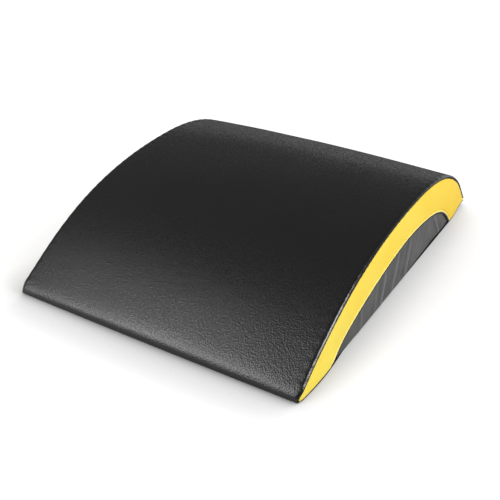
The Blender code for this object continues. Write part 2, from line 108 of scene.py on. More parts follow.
def setPiece(name, points, faces, finish, sharpAngle=50):
    mesh = bpy.data.meshes.new(name)
    mesh.from_pydata(np.asarray(points, float).reshape(-1, 3).tolist(), [], faces)
    shape = bmesh.new()
    shape.from_mesh(mesh)
    bmesh.ops.recalc_face_normals(shape, faces=shape.faces)
    shape.to_mesh(mesh)
    shape.free()
    mesh.shade_smooth()
    mesh.set_sharp_from_angle(angle=math.radians(sharpAngle))
    mesh.materials.append(finish)
    piece = bpy.data.objects.new(name, mesh)
    bpy.context.scene.collection.objects.link(piece)
    return piece


def gridFaces(rows, columns, start=0, flip=False):
    faces = []
    for r in range(rows - 1):
        for c in range(columns - 1):
            a = start + r * columns + c
            face = (a, a + 1, a + columns + 1, a + columns)
            faces.append(face[::-1] if flip else face)
    return faces


def sheetFaces(rows, columns):
    # the faces of a closed sheet: an outer grid, an inner grid of the same size, and the rim between them
    inner = rows * columns
    faces = gridFaces(rows, columns) + gridFaces(rows, columns, inner, True)
    rim = list(range(columns)) + [r * columns + columns - 1 for r in range(1, rows)]
    rim += [(rows - 1) * columns + c for c in range(columns - 2, -1, -1)]
    rim += [r * columns for r in range(rows - 2, 0, -1)]
    for here, there in zip(rim, rim[1:] + rim[:1]):
        faces.append((there, here, here + inner, there + inner))
    return faces


def setSheet(name, outer, inner, finish):
    # a closed sheet between two grids of points
    points = np.concatenate([outer.reshape(-1, 3), inner.reshape(-1, 3)])
    return setPiece(name, points, sheetFaces(*outer.shape[:2]), finish)


def setStretchAndSheen(piece, values):
    # a value from 0 to 1 at each point of a sheet's grid, for its material to read: how tightly leather is
    # pulled over an edge, and where the yellow hem's ridge and the fabric's standing creases get a painted
    # highlight
    bothFaces = np.tile(values.ravel(), 2)
    piece.data.attributes.new("stretch", "FLOAT", "POINT").data.foreach_set("value", bothFaces)


def tubeFaces(rings, sides):
    # rings of points joined into a tube that is closed at both ends
    faces = []
    for ring in range(rings - 1):
        for k in range(sides):
            a, b = ring * sides + k, ring * sides + (k + 1) % sides
            faces.append((a, b, b + sides, a + sides))
    faces.append(tuple(reversed(range(sides))))
    faces.append(tuple(range((rings - 1) * sides, rings * sides)))
    return faces


def tubeShape(radii, offsets, sides):
    # a tube along x whose radius changes: the shape of a stitch, a zip's cord or a printed dot
    turns = np.arange(sides) * 2 * math.pi / sides
    points = [(x, r * math.cos(t), r * math.sin(t)) for r, x in zip(radii, offsets) for t in turns]
    return np.array(points), tubeFaces(len(radii), sides)


def stitchShape(length, radii):
    ends = np.array([-1, -0.7, 0, 0.7, 1]) * length / 2
    return tubeShape(radii, ends, 8)


def beads(template, templateFaces, places, along, outward):
    # copies of one small shape along a line: x runs along it, z points outward
    sideways = unit(np.cross(outward, along))
    outward = unit(np.cross(along, sideways))
    points, faces = [], []
    for i, place in enumerate(places):
        axes = np.stack([along[i], sideways[i], outward[i]])
        points.append(template @ axes + place)
        faces += [tuple(v + i * len(template) for v in face) for face in templateFaces]
    return np.concatenate(points), faces


# Materials

def toLinear(hexColour):
    channels = [int(hexColour[i:i + 2], 16) / 255 for i in (1, 3, 5)]
    return tuple(c / 12.92 if c <= 0.04045 else ((c + 0.055) / 1.055) ** 2.4 for c in channels) + (1.0,)


def addNode(tree, kind, settings=None, links=None):
    # inputs are named with a capital or by number, and the node's own settings with a small letter
    node = tree.nodes.new("ShaderNode" + kind)
    for key, value in (settings or {}).items():
        if isinstance(key, str) and key[0].islower():
            setattr(node, key, value)
    for key, value in (settings or {}).items():
        if not (isinstance(key, str) and key[0].islower()):
            node.inputs[key].default_value = value
    for key, socket in (links or {}).items():
        tree.links.new(socket, node.inputs[key])
    return node


def newMaterial(name, settings):
    material = bpy.data.materials.new(name)
    material.use_nodes = True
    tree = material.node_tree
    shader = tree.nodes["Principled BSDF"]
    for key, value in settings.items():
        shader.inputs[key].default_value = value
    place = addNode(tree, "TexCoord").outputs["Object"]
    return material, tree, shader, place


spans = ("From Min", "From Max", "To Min", "To Max")    # inputs of a Map Range node

leather = {
    "grain": 1.5 * mm,        # pitch of the pebbles
    "stray": 1.6 * mm,        # how far the pebbles stray from even rows, over stretches of strayRun
    "strayRun": 9.0 * mm,
    "grainDepth": 0.15 * mm,
    "skin": 0.5 * mm,         # fine unevenness on each pebble
    "patches": 60.0 * mm,     # parts that are a little darker or duller than others
    # the grain's colours: dark is painted shade in the pebbles' valleys, light is on their tops
    "dark": "#0a0a0b",
    "light": "#171718",
    "shine": (0.46, 0.20),    # roughness in the valleys and on the burnished tops
    "stretched": 0.26,        # roughness where it is pulled tight over an edge
    "edgeOn": (0.7, 0.38),    # seen flatter than this, pebbles hide each other's shine: roughness gained
}


def pebbledLeather():
    # polyurethane leather, embossed with a round pebble grain: satin, and speckled where light glances
    settings = {"Roughness": 0.4, "IOR": 1.5, "Specular IOR Level": 0.4}
    material, tree, shader, place = newMaterial("embossedPolyurethaneLeather", settings)
    wander = addNode(tree, "TexNoise", {"Scale": 1 / leather["strayRun"], "Detail": 2.0}, {"Vector": place})
    strayed = addNode(tree, "VectorMath", {"operation": "MULTIPLY_ADD", 1: (leather["stray"],) * 3},
                      {0: wander.outputs["Color"], 2: place})
    cells = addNode(tree, "TexVoronoi", {"Scale": 1 / leather["grain"]}, {"Vector": strayed.outputs[0]})
    pebbles = addNode(tree, "MapRange", dict(zip(spans, (0.15, 0.75, 1.0, 0.0))),
                      {"Value": cells.outputs["Distance"]}).outputs[0]
    fine = addNode(tree, "TexNoise", {"Scale": 1 / leather["skin"], "Detail": 3.0}, {"Vector": place})
    height = addNode(tree, "Math", {"operation": "MULTIPLY_ADD", 1: 0.25},
                     {0: fine.outputs["Fac"], 2: pebbles})
    # the grain flattens, and shines more, where the mesh marks the leather as pulled tight
    stretch = addNode(tree, "Attribute", {"attribute_name": "stretch"}).outputs["Fac"]
    strength = addNode(tree, "MapRange", dict(zip(spans, (0.0, 1.0, 0.9, 0.25))), {"Value": stretch})
    bump = addNode(tree, "Bump", {"Distance": leather["grainDepth"]},
                   {"Height": height.outputs[0], "Strength": strength.outputs[0]})
    tree.links.new(bump.outputs[0], shader.inputs["Normal"])
    clouds = addNode(tree, "TexNoise", {"Scale": 1 / leather["patches"], "Detail": 3.0}, {"Vector": place})
    # the pebbles' valleys are painted darker than their tops as painted shade, and the patches differ at
    # random
    tone = addNode(tree, "Math", {"operation": "MULTIPLY"}, {0: pebbles, 1: clouds.outputs["Fac"]})
    colours = {"data_type": "RGBA", "A": toLinear(leather["dark"]), "B": toLinear(leather["light"])}
    colour = addNode(tree, "Mix", colours, {"Factor": tone.outputs[0]})
    tree.links.new(colour.outputs["Result"], shader.inputs["Base Color"])
    worn = addNode(tree, "Math", {"operation": "MULTIPLY_ADD", 1: 0.25, 2: -0.12},
                   {0: clouds.outputs["Fac"]})
    shine = addNode(tree, "Math", {"operation": "ADD"}, {0: pebbles, 1: worn.outputs[0]})
    grained = addNode(tree, "MapRange", dict(zip(spans, (0.0, 1.0, *leather["shine"]))),
                      {"Value": shine.outputs[0]})
    rough = addNode(tree, "Mix", {"data_type": "FLOAT", "B": leather["stretched"]},
                    {"Factor": stretch, "A": grained.outputs[0]})
    slant = addNode(tree, "LayerWeight", {"Blend": 0.5}).outputs["Facing"]
    flatter, gained = leather["edgeOn"]
    duller = addNode(tree, "MapRange", dict(zip(spans, (flatter, 1.0, 0.0, gained))), {"Value": slant})
    seen = addNode(tree, "Math", {"operation": "ADD"}, {0: rough.outputs["Result"], 1: duller.outputs[0]})
    tree.links.new(seen.outputs[0], shader.inputs["Roughness"])
    return material


yellow = {
    "grain": 1.1 * mm,
    "grainDepth": 0.06 * mm,
    "skin": 0.4 * mm,
    "patches": 45.0 * mm,
    "deep": "#fed11c",         # at the rear
    "pale": "#ffe963",         # at the front
    "fade": (-0.2, 0.2),       # between the front and the rear, in metres from the middle; the paler front is painted light
    "stretched": "#fff19a",    # a painted highlight, paler along the ridge of the folded hem
}


def yellowLeather():
    # polyurethane leather, calendered nearly smooth: bright and even, with a soft satin sheen
    settings = {"Roughness": 0.5, "IOR": 1.5, "Specular IOR Level": 0.15}
    material, tree, shader, place = newMaterial("smoothPolyurethaneLeather", settings)
    cells = addNode(tree, "TexVoronoi", {"Scale": 1 / yellow["grain"]}, {"Vector": place})
    fine = addNode(tree, "TexNoise", {"Scale": 1 / yellow["skin"], "Detail": 3.0}, {"Vector": place})
    height = addNode(tree, "Math", {"operation": "MULTIPLY_ADD", 1: 0.6},
                     {0: fine.outputs["Fac"], 2: cells.outputs["Distance"]})
    bump = addNode(tree, "Bump", {"Strength": 0.7, "Distance": yellow["grainDepth"]},
                   {"Height": height.outputs[0]})
    tree.links.new(bump.outputs[0], shader.inputs["Normal"])
    # mottled at random, and painted paler toward the front: painted light, as if lit more from the front
    clouds = addNode(tree, "TexNoise", {"Scale": 1 / yellow["patches"], "Detail": 4.0}, {"Vector": place})
    mottle = addNode(tree, "MapRange", dict(zip(spans, (0.35, 0.65, -0.12, 0.12))),
                     {"Value": clouds.outputs["Fac"]})
    back = addNode(tree, "SeparateXYZ", {}, {0: place}).outputs["Y"]
    paintedFrontLight = addNode(tree, "MapRange", dict(zip(spans, (*yellow["fade"], 0.9, 0.1))), {"Value": back})
    tone = addNode(tree, "Math", {"operation": "ADD"}, {0: paintedFrontLight.outputs[0], 1: mottle.outputs[0]})
    colours = {"data_type": "RGBA", "A": toLinear(yellow["deep"]), "B": toLinear(yellow["pale"])}
    even = addNode(tree, "Mix", colours, {"Factor": tone.outputs[0]})
    # the hem's ridge is painted paler: a painted highlight along the rim
    stretch = addNode(tree, "Attribute", {"attribute_name": "stretch"}).outputs["Fac"]
    hem = addNode(tree, "Mix", {"data_type": "RGBA", "B": toLinear(yellow["stretched"])},
                  {"Factor": stretch, "A": even.outputs["Result"]})
    tree.links.new(hem.outputs["Result"], shader.inputs["Base Color"])
    return material


def wovenFabric(name, dark, light, pitch, depth, roughness, gloss=0.2, crestHighlight="#747478"):
    # plain-woven polyester, with threads that cross over and under, and a painted highlight, paler along the
    # ridge of a standing fold
    settings = {"Roughness": roughness, "Specular IOR Level": gloss}
    material, tree, shader, place = newMaterial(name, settings)
    split = addNode(tree, "SeparateXYZ", {}, {0: place})
    threads = []
    for first in "YZ":
        both = addNode(tree, "Math", {"operation": "ADD"}, {0: split.outputs[first], 1: split.outputs["X"]})
        turn = addNode(tree, "Math", {"operation": "MULTIPLY", 1: 2 * math.pi / pitch}, {0: both.outputs[0]})
        threads.append(addNode(tree, "Math", {"operation": "SINE"}, {0: turn.outputs[0]}).outputs[0])
    weave = addNode(tree, "Math", {"operation": "MULTIPLY"}, {0: threads[0], 1: threads[1]})
    fibres = addNode(tree, "TexNoise", {"Scale": 1 / (0.6 * pitch), "Detail": 4.0}, {"Vector": place})
    height = addNode(tree, "Math", {"operation": "MULTIPLY_ADD", 1: 0.8},
                     {0: fibres.outputs["Fac"], 2: weave.outputs[0]})
    bump = addNode(tree, "Bump", {"Strength": 0.8, "Distance": depth}, {"Height": height.outputs[0]})
    tree.links.new(bump.outputs[0], shader.inputs["Normal"])
    # uneven dye, in patches of about 25 mm
    clouds = addNode(tree, "TexNoise", {"Scale": 1 / (25 * mm), "Detail": 5.0}, {"Vector": place})
    shade = addNode(tree, "Math", {"operation": "MULTIPLY_ADD", 1: 0.22},
                    {0: weave.outputs[0], 2: clouds.outputs["Fac"]})
    tone = addNode(tree, "MapRange", dict(zip(spans, (0.2, 0.8, 0.0, 1.0))), {"Value": shade.outputs[0]})
    even = addNode(tree, "Mix", {"data_type": "RGBA", "A": toLinear(dark), "B": toLinear(light)},
                   {"Factor": tone.outputs[0]})
    # standing creases are painted paler along their ridges: a painted highlight
    highlightedCrest = addNode(tree, "Attribute", {"attribute_name": "stretch"}).outputs["Fac"]
    colour = addNode(tree, "Mix", {"data_type": "RGBA", "B": toLinear(crestHighlight)},
                     {"Factor": highlightedCrest, "A": even.outputs["Result"]})
    tree.links.new(colour.outputs["Result"], shader.inputs["Base Color"])
    return material


def sewingThread(name, dark, light):
    # twisted polyester thread: the plies run slantwise along it, one in about 1.6 mm
    material, tree, shader, place = newMaterial(name, {"Roughness": 0.6, "Specular IOR Level": 0.3})
    settings = {"Scale": 1 / (1.6 * mm), "Distortion": 1.5, "bands_direction": "DIAGONAL"}
    twist = addNode(tree, "TexWave", settings, {"Vector": place}).outputs["Fac"]
    bump = addNode(tree, "Bump", {"Strength": 0.7, "Distance": 0.1 * mm}, {"Height": twist})
    tree.links.new(bump.outputs[0], shader.inputs["Normal"])
    colour = addNode(tree, "Mix", {"data_type": "RGBA", "A": toLinear(dark), "B": toLinear(light)},
                     {"Factor": twist})
    tree.links.new(colour.outputs["Result"], shader.inputs["Base Color"])
    return material


def moulded(name, dark, light, roughness, metallic=0.0):
    # moulded or coated hard parts: even colour, faint mottling, and a fine skin that scatters the light
    settings = {"Roughness": roughness, "Metallic": metallic}
    material, tree, shader, place = newMaterial(name, settings)
    skin = addNode(tree, "TexNoise", {"Scale": 1 / (0.3 * mm), "Detail": 3.0}, {"Vector": place})
    bump = addNode(tree, "Bump", {"Strength": 0.4, "Distance": 0.02 * mm}, {"Height": skin.outputs["Fac"]})
    tree.links.new(bump.outputs[0], shader.inputs["Normal"])
    clouds = addNode(tree, "TexNoise", {"Scale": 1 / (4 * mm), "Detail": 4.0}, {"Vector": place})
    colour = addNode(tree, "Mix", {"data_type": "RGBA", "A": toLinear(dark), "B": toLinear(light)},
                     {"Factor": clouds.outputs["Fac"]})
    tree.links.new(colour.outputs["Result"], shader.inputs["Base Color"])
    rough = addNode(tree, "MapRange", dict(zip(spans, (0.3, 0.7, roughness - 0.05, roughness + 0.07))),
                    {"Value": clouds.outputs["Fac"]})
    tree.links.new(rough.outputs[0], shader.inputs["Roughness"])
    return material


def closedCellFoam():
    # cross-linked foam: chalky, with a skin of burst cells about 1.2 mm across
    settings = {"Roughness": 0.95, "Specular IOR Level": 0.2}
    material, tree, shader, place = newMaterial("closedCellFoam", settings)
    cells = addNode(tree, "TexVoronoi", {"Scale": 1 / (1.2 * mm)}, {"Vector": place}).outputs["Distance"]
    bump = addNode(tree, "Bump", {"Strength": 0.8, "Distance": 0.25 * mm}, {"Height": cells})
    tree.links.new(bump.outputs[0], shader.inputs["Normal"])
    colours = {"data_type": "RGBA", "A": toLinear("#303136"), "B": toLinear("#46474c")}
    colour = addNode(tree, "Mix", colours, {"Factor": cells})
    tree.links.new(colour.outputs["Result"], shader.inputs["Base Color"])
    return material


blackCover = pebbledLeather()
yellowSides = yellowLeather()
greySides = wovenFabric("wovenPolyester", "#3e3e40", "#595958", 0.9 * mm, 0.06 * mm, 0.60, 0.45)
baseCloth = wovenFabric("coatedBaseCloth", "#19191a", "#242425", 1.2 * mm, 0.15 * mm, 0.9)
tapeCloth = wovenFabric("zipTapeTwill", "#121214", "#1d1d20", 0.7 * mm, 0.1 * mm, 0.85)
blackThread = sewingThread("blackPolyesterThread", "#0c0d12", "#1b1d25")
yellowThread = sewingThread("yellowPolyesterThread", "#c79a1d", "#eac63d")
rubberDots = moulded("printedRubberDots", "#1d1d1e", "#29292a", 0.6)
coilNylon = moulded("mouldedNylon", "#151517", "#202022", 0.42)
coatedMetal = moulded("coatedDieCastZinc", "#242426", "#333336", 0.36, 1.0)
foamSkin = closedCellFoam()
print("materials made:", len(bpy.data.materials))


# The body's lines, in metres: (distance back from the front of the base, height)

body = {
    "halfWidth": 152.5 * mm,
    "foot": (0.6 * mm, 1.5 * mm),
    "lip": (5.5 * mm, 8.4 * mm),
    "hump": (241.4 * mm, 80.0 * mm),
    "tip": (404.0 * mm, 6.0 * mm),
    "frontSlope": math.radians(33),
    "rearSlope": math.radians(46.8),
    # how long each curve keeps to its slope at its foot and at its top, as shares of its run
    "lipShares": (0.5, 0.35),
    "frontShares": (0.28, 0.54),
    "rearShares": (0.25, 0.61),
    "frontDrawIn": 1.2 * mm,
    "frontDrawRun": 6.0 * mm,
    "rearDrawIn": 2.0 * mm,
    "rearDrawRun": 45.0 * mm,
    "footBulge": 2.3 * mm,
    "footBulgeRun": 80.0 * mm,
    "footBulgeHeight": 18.0 * mm,
    "cornerLift": 3.0 * mm,
    "cornerLiftRun": 48.0 * mm,
    "cornerLiftReach": 13.0 * mm,
    "centreBack": 203.44 * mm,    # what is taken off to put the box over the origin
}
arch = {
    "front": (55.7 * mm, 0),
    "top": (222.0 * mm, 44.7 * mm),
    "rear": (353.8 * mm, 0),
    "frontSlope": math.radians(38),
    "rearSlope": math.radians(47.7),
    "frontShares": (0.27, 0.18),
    "rearShares": (0.22, 0.68),
    "frontShift": 0.9 * mm,       # how far the front half lies ahead of its curve, full after frontRun
    "frontRun": 60.0 * mm,
    "sliver": 6.0 * mm,           # how much farther the front foot runs out, up to about sliverHeight
    "sliverHeight": 2.6 * mm,
}
sewn = {
    "gap": 0.3 * mm,
    "leather": 1.2 * mm,
    "fabric": 1.0 * mm,
    "base": 1.2 * mm,
    "seam": 1.2 * mm,
    "archSeam": 1.6 * mm,
}
seamReach = sewn["seam"] / 2 + sewn["gap"]


def bodyLines():
    foot, lip, hump, tip = (np.array(body[k]) for k in ("foot", "lip", "hump", "tip"))
    climb = lip[1] - foot[1]
    slope = body["frontSlope"]
    leave = foot + np.array([0, climb * body["lipShares"][0]])
    arrive = lip - np.array([math.cos(slope), math.sin(slope)]) * climb * body["lipShares"][1]
    front = rise(lip, slope, hump, body["frontShares"])
    rear = rise(tip, body["rearSlope"], hump, body["rearShares"])[::-1]
    top = makeLine([(foot, leave, arrive, lip), front, rear])
    archFront, archTop, archRear = (np.array(arch[k]) for k in ("front", "top", "rear"))
    archRise = rise(archFront, arch["frontSlope"], archTop, arch["frontShares"])
    archFall = rise(archRear, arch["rearSlope"], archTop, arch["rearShares"])[::-1]
    opening = makeLine([archRise, archFall])["points"]
    rising = smoothStep((archTop[0] - opening[:, 0]) / arch["frontRun"])
    sliver = arch["sliver"] * np.exp(-opening[:, 1] / arch["sliverHeight"])
    opening[:, 0] -= rising * (arch["frontShift"] + sliver)
    return top, measured(opening)


seamLine, archLine = bodyLines()


def halfWidth(back, height):
    front = body["frontDrawIn"] * (1 - smoothStep(back / body["frontDrawRun"]))
    fromTip = body["tip"][0] - back
    rear = body["rearDrawIn"] * smoothStep((body["rearDrawRun"] - fromTip) / body["rearDrawRun"])
    along = np.clip(back / body["footBulgeRun"], 0, 1)
    bulge = body["footBulge"] * np.sin(math.pi * along) * np.maximum(0, 1 - height / body["footBulgeHeight"])
    return body["halfWidth"] - front - rear + bulge


tipHalf = float(halfWidth(*body["tip"]))


def baseLift(across, back):
    edge = halfWidth(back, 0)
    sideways = smoothStep((across - edge + body["cornerLiftReach"]) / body["cornerLiftReach"])
    lengthways = smoothStep((back - body["tip"][0] + body["cornerLiftRun"]) / body["cornerLiftRun"])
    return body["cornerLift"] * sideways * lengthways


def footHeight(back):
    return baseLift(halfWidth(back, 0), back) + sewn["base"] + sewn["gap"]


def inRoom(x, back, height):
    # from the side view's measures to the model's own frame
    return np.stack(np.broadcast_arrays(x, back - body["centreBack"], height), -1)


def heightOnArch(back):
    return np.interp(back, archLine["points"][:, 0], archLine["points"][:, 1], left=0, right=0)


# The black cover

cover = {
    "band": 0.4 * mm,
    "roll": 1.6 * mm,
    "rollFacet": 1.75,        # above 1 the roll is flatter half way round
    # how far the seam wanders off its line, outward above 0, in mm, at shares of the seam's length
    "wander": ((0, 0.15, 0.3, 0.6, 0.7, 0.82, 1), (0, 0, -0.55, -0.65, -0.45, 0.4, 0.6)),
    "crown": 3.1 * mm,
    "cordDepth": 0.55 * mm,   # how far the middle of the seam lies behind the side's face
    "lipRun": 40.0 * mm,
    "lipShare": 0.28,
    "lipRound": 6.0,
    "endRound": 0.5 * mm,
    "pucker": 0.14 * mm,      # how far the seam's stitches pull the leather in
    "puckerPitch": 11.0 * mm,
    "puckerStray": 2.2,       # in radians, over stretches of puckerRun
    "puckerRun": 31.0 * mm,
    "puckerFrom": 3.0 * mm,   # where the puckers are deepest, in from the side, and how wide they are
    "puckerWidth": 5.0 * mm,
    "drape": 0.30 * mm,       # slight unevenness of the leather over the foam
    "drapeSize": 55.0 * mm,
    "drapeFrom": 25.0 * mm,   # in from the side, where the unevenness is full
    "calm": (14.0 * mm, 12.0 * mm),    # lengths at the lip and at the rear where both die out
    # rows of points: where the lip's end and how many, where the hump's end before the rear and how many
    "lipRows": (18.0 * mm, 30),
    "humpRows": (6.0 * mm, 170),
    "rearRows": (4.5, 3, 2, 1.4, 1.0, 0.7, 0.45, 0.25, 0.1, 0.03, 0),    # each one, in mm from the rear end
    "columns": 97,
    "rollSteps": 9,
    "edgeSteps": 6,
}


def swell(share):
    # the lip is rounder than a plain ramp: it fills out early and levels off slowly
    along = np.clip(share * seamLine["length"] / cover["lipRun"], 0, 1)
    return cover["lipShare"] + (1 - cover["lipShare"]) * (1 - (1 - along) ** cover["lipRound"])


def seamShift(share):
    return np.interp(share, *cover["wander"]) * mm


def crown(across):
    return cover["crown"] * (1 - across * across)


def topLift(across):
    # how far the cover's outer face stands off the seam's line where it is fully swelled
    return seamReach + cover["band"] + cover["roll"] + crown(across)


def coverRows():
    length = seamLine["length"]
    lipEnd, lipRows = cover["lipRows"]
    humpEnd, humpRows = cover["humpRows"]
    lip = np.linspace(0, lipEnd, lipRows)
    hump = np.linspace(lipEnd, length - humpEnd, humpRows)[1:]
    rear = length - np.array(cover["rearRows"]) * mm
    return np.concatenate([lip, hump, rear]) / length


def coverEdge():
    # the side edge's section, from the top down: the outer face's inset from the side, its height above the
    # seam and its height that swells with the lip, then the inner face's inset and height
    thick, low, roll = sewn["leather"], cover["band"], cover["roll"]
    section = []
    for turn in np.linspace(math.pi / 2, 0, cover["rollSteps"])[1:]:
        flat = max(math.cos(turn), 0) ** cover["rollFacet"]
        tall = max(math.sin(turn), 0) ** cover["rollFacet"]
        section.append((roll * (1 - flat), low, roll * tall,
                        thick + (roll - thick) * (1 - math.cos(turn)), (roll - thick) * math.sin(turn) + low))
    for turn in np.linspace(0, -math.pi / 2, cover["edgeSteps"])[1:]:
        height = low * (1 + math.sin(turn))
        section.append((low * (1 - math.cos(turn)), height, 0.0, thick, height))
    return section


def makeCover():
    share, thick = coverRows(), sewn["leather"]
    point, normal = lineAt(seamLine, share)
    reach = share * seamLine["length"]
    fromEnd = (1 - share) * seamLine["length"]
    endDrop = roundedOff(fromEnd, cover["endRound"])
    edgeLow = seamReach + seamShift(share)
    edgeSwell = swell(share) * (1 - seamShift(share) / cover["roll"])

    def column(across, inset, lift):
        place = point + normal * lift[:, None]
        x = across * (halfWidth(place[:, 0], place[:, 1]) - inset)
        return inRoom(x, place[:, 0], place[:, 1])

    def rolledEdge(sign):
        highest = edgeLow + cover["band"] + cover["roll"] * edgeSwell - thick + 0.2 * mm
        made = []
        for inset, height, bulge, innerInset, innerHeight in coverEdge():
            innerBulge = max(innerHeight - cover["band"], 0) * edgeSwell
            inside = edgeLow + min(innerHeight, cover["band"]) + innerBulge
            made.append((column(sign, inset, edgeLow + height + bulge * edgeSwell - endDrop),
                         column(sign, innerInset, np.minimum(inside, highest))))
        return made

    middle = []
    for across in np.linspace(-1, 1, cover["columns"]):
        lift = seamReach + cover["band"] + (cover["roll"] + crown(across)) * swell(share)
        middle.append((column(across, cover["roll"], lift - endDrop),
                       column(across, cover["roll"], lift - thick)))
    outer, inner = (np.stack(face, 1) for face in zip(*(rolledEdge(-1)[::-1] + middle + rolledEdge(1))))
    # the leather's own unevenness, and the small dips at the side seams
    fromSide = np.abs(outer[:, :, 0])
    fromSide = fromSide.max(1, keepdims=True) - fromSide
    stray = cover["puckerStray"] * np.sin(reach / cover["puckerRun"])
    waves = np.sin(2 * math.pi * reach / cover["puckerPitch"] + stray)[:, None]
    near = np.exp(-((fromSide - cover["puckerFrom"]) / cover["puckerWidth"]) ** 2)
    drape = cover["drape"] * unevenness(outer, cover["drapeSize"])
    dip = cover["pucker"] * (waves - 1) * near + drape * smoothStep(fromSide / cover["drapeFrom"])
    calm = smoothStep(reach / cover["calm"][0]) * smoothStep(fromEnd / cover["calm"][1])
    dip = dip * calm[:, None]
    push = np.stack([np.zeros_like(dip), normal[:, None, 0] * dip, normal[:, None, 1] * dip], -1)
    piece = setSheet("topCover", outer + push, inner + push, blackCover)
    setStretchAndSheen(piece, np.where(fromSide < cover["roll"] * 1.1, 1.0, 0.0))
    return piece


# The yellow side bands

band = {
    "hemRise": 0.50 * mm,      # the folded hem stands proud as a low ridge
    "hemWidth": 2.3 * mm,
    "hemSkew": 0.8,            # below 1 the ridge's top lies nearer to its edge
    "hemStart": 3.0 * mm,      # height of the arch over which the hem takes its form
    "stitchInset": 2.7 * mm,
    "stitchDip": 0.50 * mm,
    "stitchDipWidth": 0.5 * mm,
    "stitchPitch": 3.3 * mm,
    "stitchLength": 2.5 * mm,
    "stitchRadii": (0.08, 0.2, 0.26, 0.2, 0.08),    # mm, along one stitch
    "stitchProud": 0.1 * mm,
    "edgeRound": 0.6 * mm,
    "seamRound": 0.9 * mm,
    "puff": 0.55 * mm,
    "puffWidth": 30.0 * mm,    # where the band is narrower than this it puffs less
    "narrow": 13.0 * mm,       # where it is narrower than this its hem and its edges shrink with it
    "wave": 0.16 * mm,         # slight unevenness, and the size of its bumps
    "waveSize": 24.0 * mm,
    "waveFrom": 6.0 * mm,
    "frontTurn": 0.10,
    "rearTurn": 0.93,
    "seamStart": 2.0 * mm,
    "footColumns": 41,
    "archColumns": 241,
    # rows of points, in mm from the lower edge and from the upper edge, and how many lie between
    "lowRows": (0, 0.12, 0.3, 0.55, 0.8, 1.05, 1.3, 1.6, 1.9, 2.15, 2.4, 2.55, 2.7, 2.85, 3.0, 3.3, 3.8, 4.6,
                6.0),
    "highRows": (4.5, 3.2, 2.3, 1.6, 1.1, 0.8, 0.5, 0.25, 0.1, 0),
    "middleRows": 8,
}


def bandEdges():
    # points along the lower and the upper edge of the band, and how far each column's hem is formed
    feet, middle = band["footColumns"], band["archColumns"]
    start = band["seamStart"] / seamLine["length"]
    upperShare = np.concatenate([np.linspace(start, band["frontTurn"], feet)[:-1],
                                 np.linspace(band["frontTurn"], band["rearTurn"], middle)[:-1],
                                 np.linspace(band["rearTurn"], 1, feet)])
    upper, normal = lineAt(seamLine, upperShare)
    upper = upper - normal * (seamReach - seamShift(upperShare))[:, None]
    frontTip = lineAt(seamLine, start)[0][0] + seamReach
    rearTip = body["tip"][0] - seamReach
    opening = lineAt(archLine, np.linspace(0, 1, middle))[0]
    frontFoot = np.linspace(frontTip, archLine["points"][0, 0], feet)[:-1]
    rearFoot = np.linspace(archLine["points"][-1, 0], rearTip, feet)[1:]
    lower = np.concatenate([np.stack([frontFoot, footHeight(frontFoot)], -1), opening,
                            np.stack([rearFoot, footHeight(rearFoot)], -1)])
    lower[:, 1] = np.maximum(lower[:, 1], footHeight(lower[:, 0]))
    hem = smoothStep((heightOnArch(lower[:, 0]) - footHeight(lower[:, 0])) / band["hemStart"])
    return lower, upper, hem


def makeBand(name, side):
    lower, upper, hem = bandEdges()
    width = np.linalg.norm(upper - lower, axis=1)[:, None]
    squeeze = np.minimum(1, width / band["narrow"])
    fromLow = np.array(band["lowRows"]) * mm * squeeze
    fromHigh = width - np.array(band["highRows"]) * mm * squeeze
    steps = np.linspace(0, 1, band["middleRows"] + 2)[1:-1]
    between = fromLow[:, -1:] + (fromHigh[:, :1] - fromLow[:, -1:]) * steps
    distance = np.concatenate([fromLow, between, fromHigh], 1)
    rest = width - distance
    share = distance / width
    flat = lower[:, None] + (upper - lower)[:, None] * share[..., None]
    x = halfWidth(flat[..., 0], flat[..., 1])
    formed = hem[:, None] * squeeze
    proud = band["puff"] * np.sin(math.pi * np.clip(share, 0, 1)) * np.minimum(1, width / band["puffWidth"])
    ridge = np.sin(math.pi * np.clip(distance / band["hemWidth"], 0, 1) ** band["hemSkew"])
    groove = np.exp(-((distance - band["stitchInset"]) / band["stitchDipWidth"]) ** 2)
    proud = proud + band["hemRise"] * ridge * formed - band["stitchDip"] * groove * formed
    waves = band["wave"] * unevenness(inRoom(side * x, flat[..., 0], flat[..., 1]), band["waveSize"], 7.3)
    proud = proud + waves * smoothStep(np.minimum(distance, rest) / band["waveFrom"])
    proud = proud - roundedOff(distance, band["edgeRound"] * squeeze)
    proud = proud - roundedOff(rest, band["seamRound"] * squeeze)
    outer = inRoom(side * (x + proud), flat[..., 0], flat[..., 1])
    inner = inRoom(side * (x - sewn["leather"]), flat[..., 0], flat[..., 1])
    piece = setSheet(name, outer, inner, yellowSides)
    # marks the hem's ridge, which the yellow material paints with a painted highlight
    setStretchAndSheen(piece, formed * smoothStep((band["hemWidth"] - distance) / (0.9 * mm)))
    return piece


def makeBandStitches(name, side):
    # a row of single stitches in the dip of the hem
    lower, upper, hem = bandEdges()
    line = lower + unit(upper - lower) * band["stitchInset"]
    line = line[hem > 0.6]
    reached = lengthAlong(line)
    spots = np.arange(1.0 * mm, reached[-1] - 1.0 * mm, band["stitchPitch"])
    places = readAt(spots, reached, line)
    along = unit(readAt(spots + 0.5 * mm, reached, line) - places)
    x = halfWidth(places[:, 0], places[:, 1]) + band["stitchProud"] - band["stitchDip"]
    stitch, faces = stitchShape(band["stitchLength"], np.array(band["stitchRadii"]) * mm)
    runs = np.stack([np.zeros(len(along)), along[:, 0], along[:, 1]], -1)
    outward = np.tile([side, 0.0, 0.0], (len(along), 1))
    points, faces = beads(stitch, faces, inRoom(side * x, places[:, 0], places[:, 1]), runs, outward)
    return setPiece(name, points, faces, yellowThread)


# The slack grey fabric under each arch

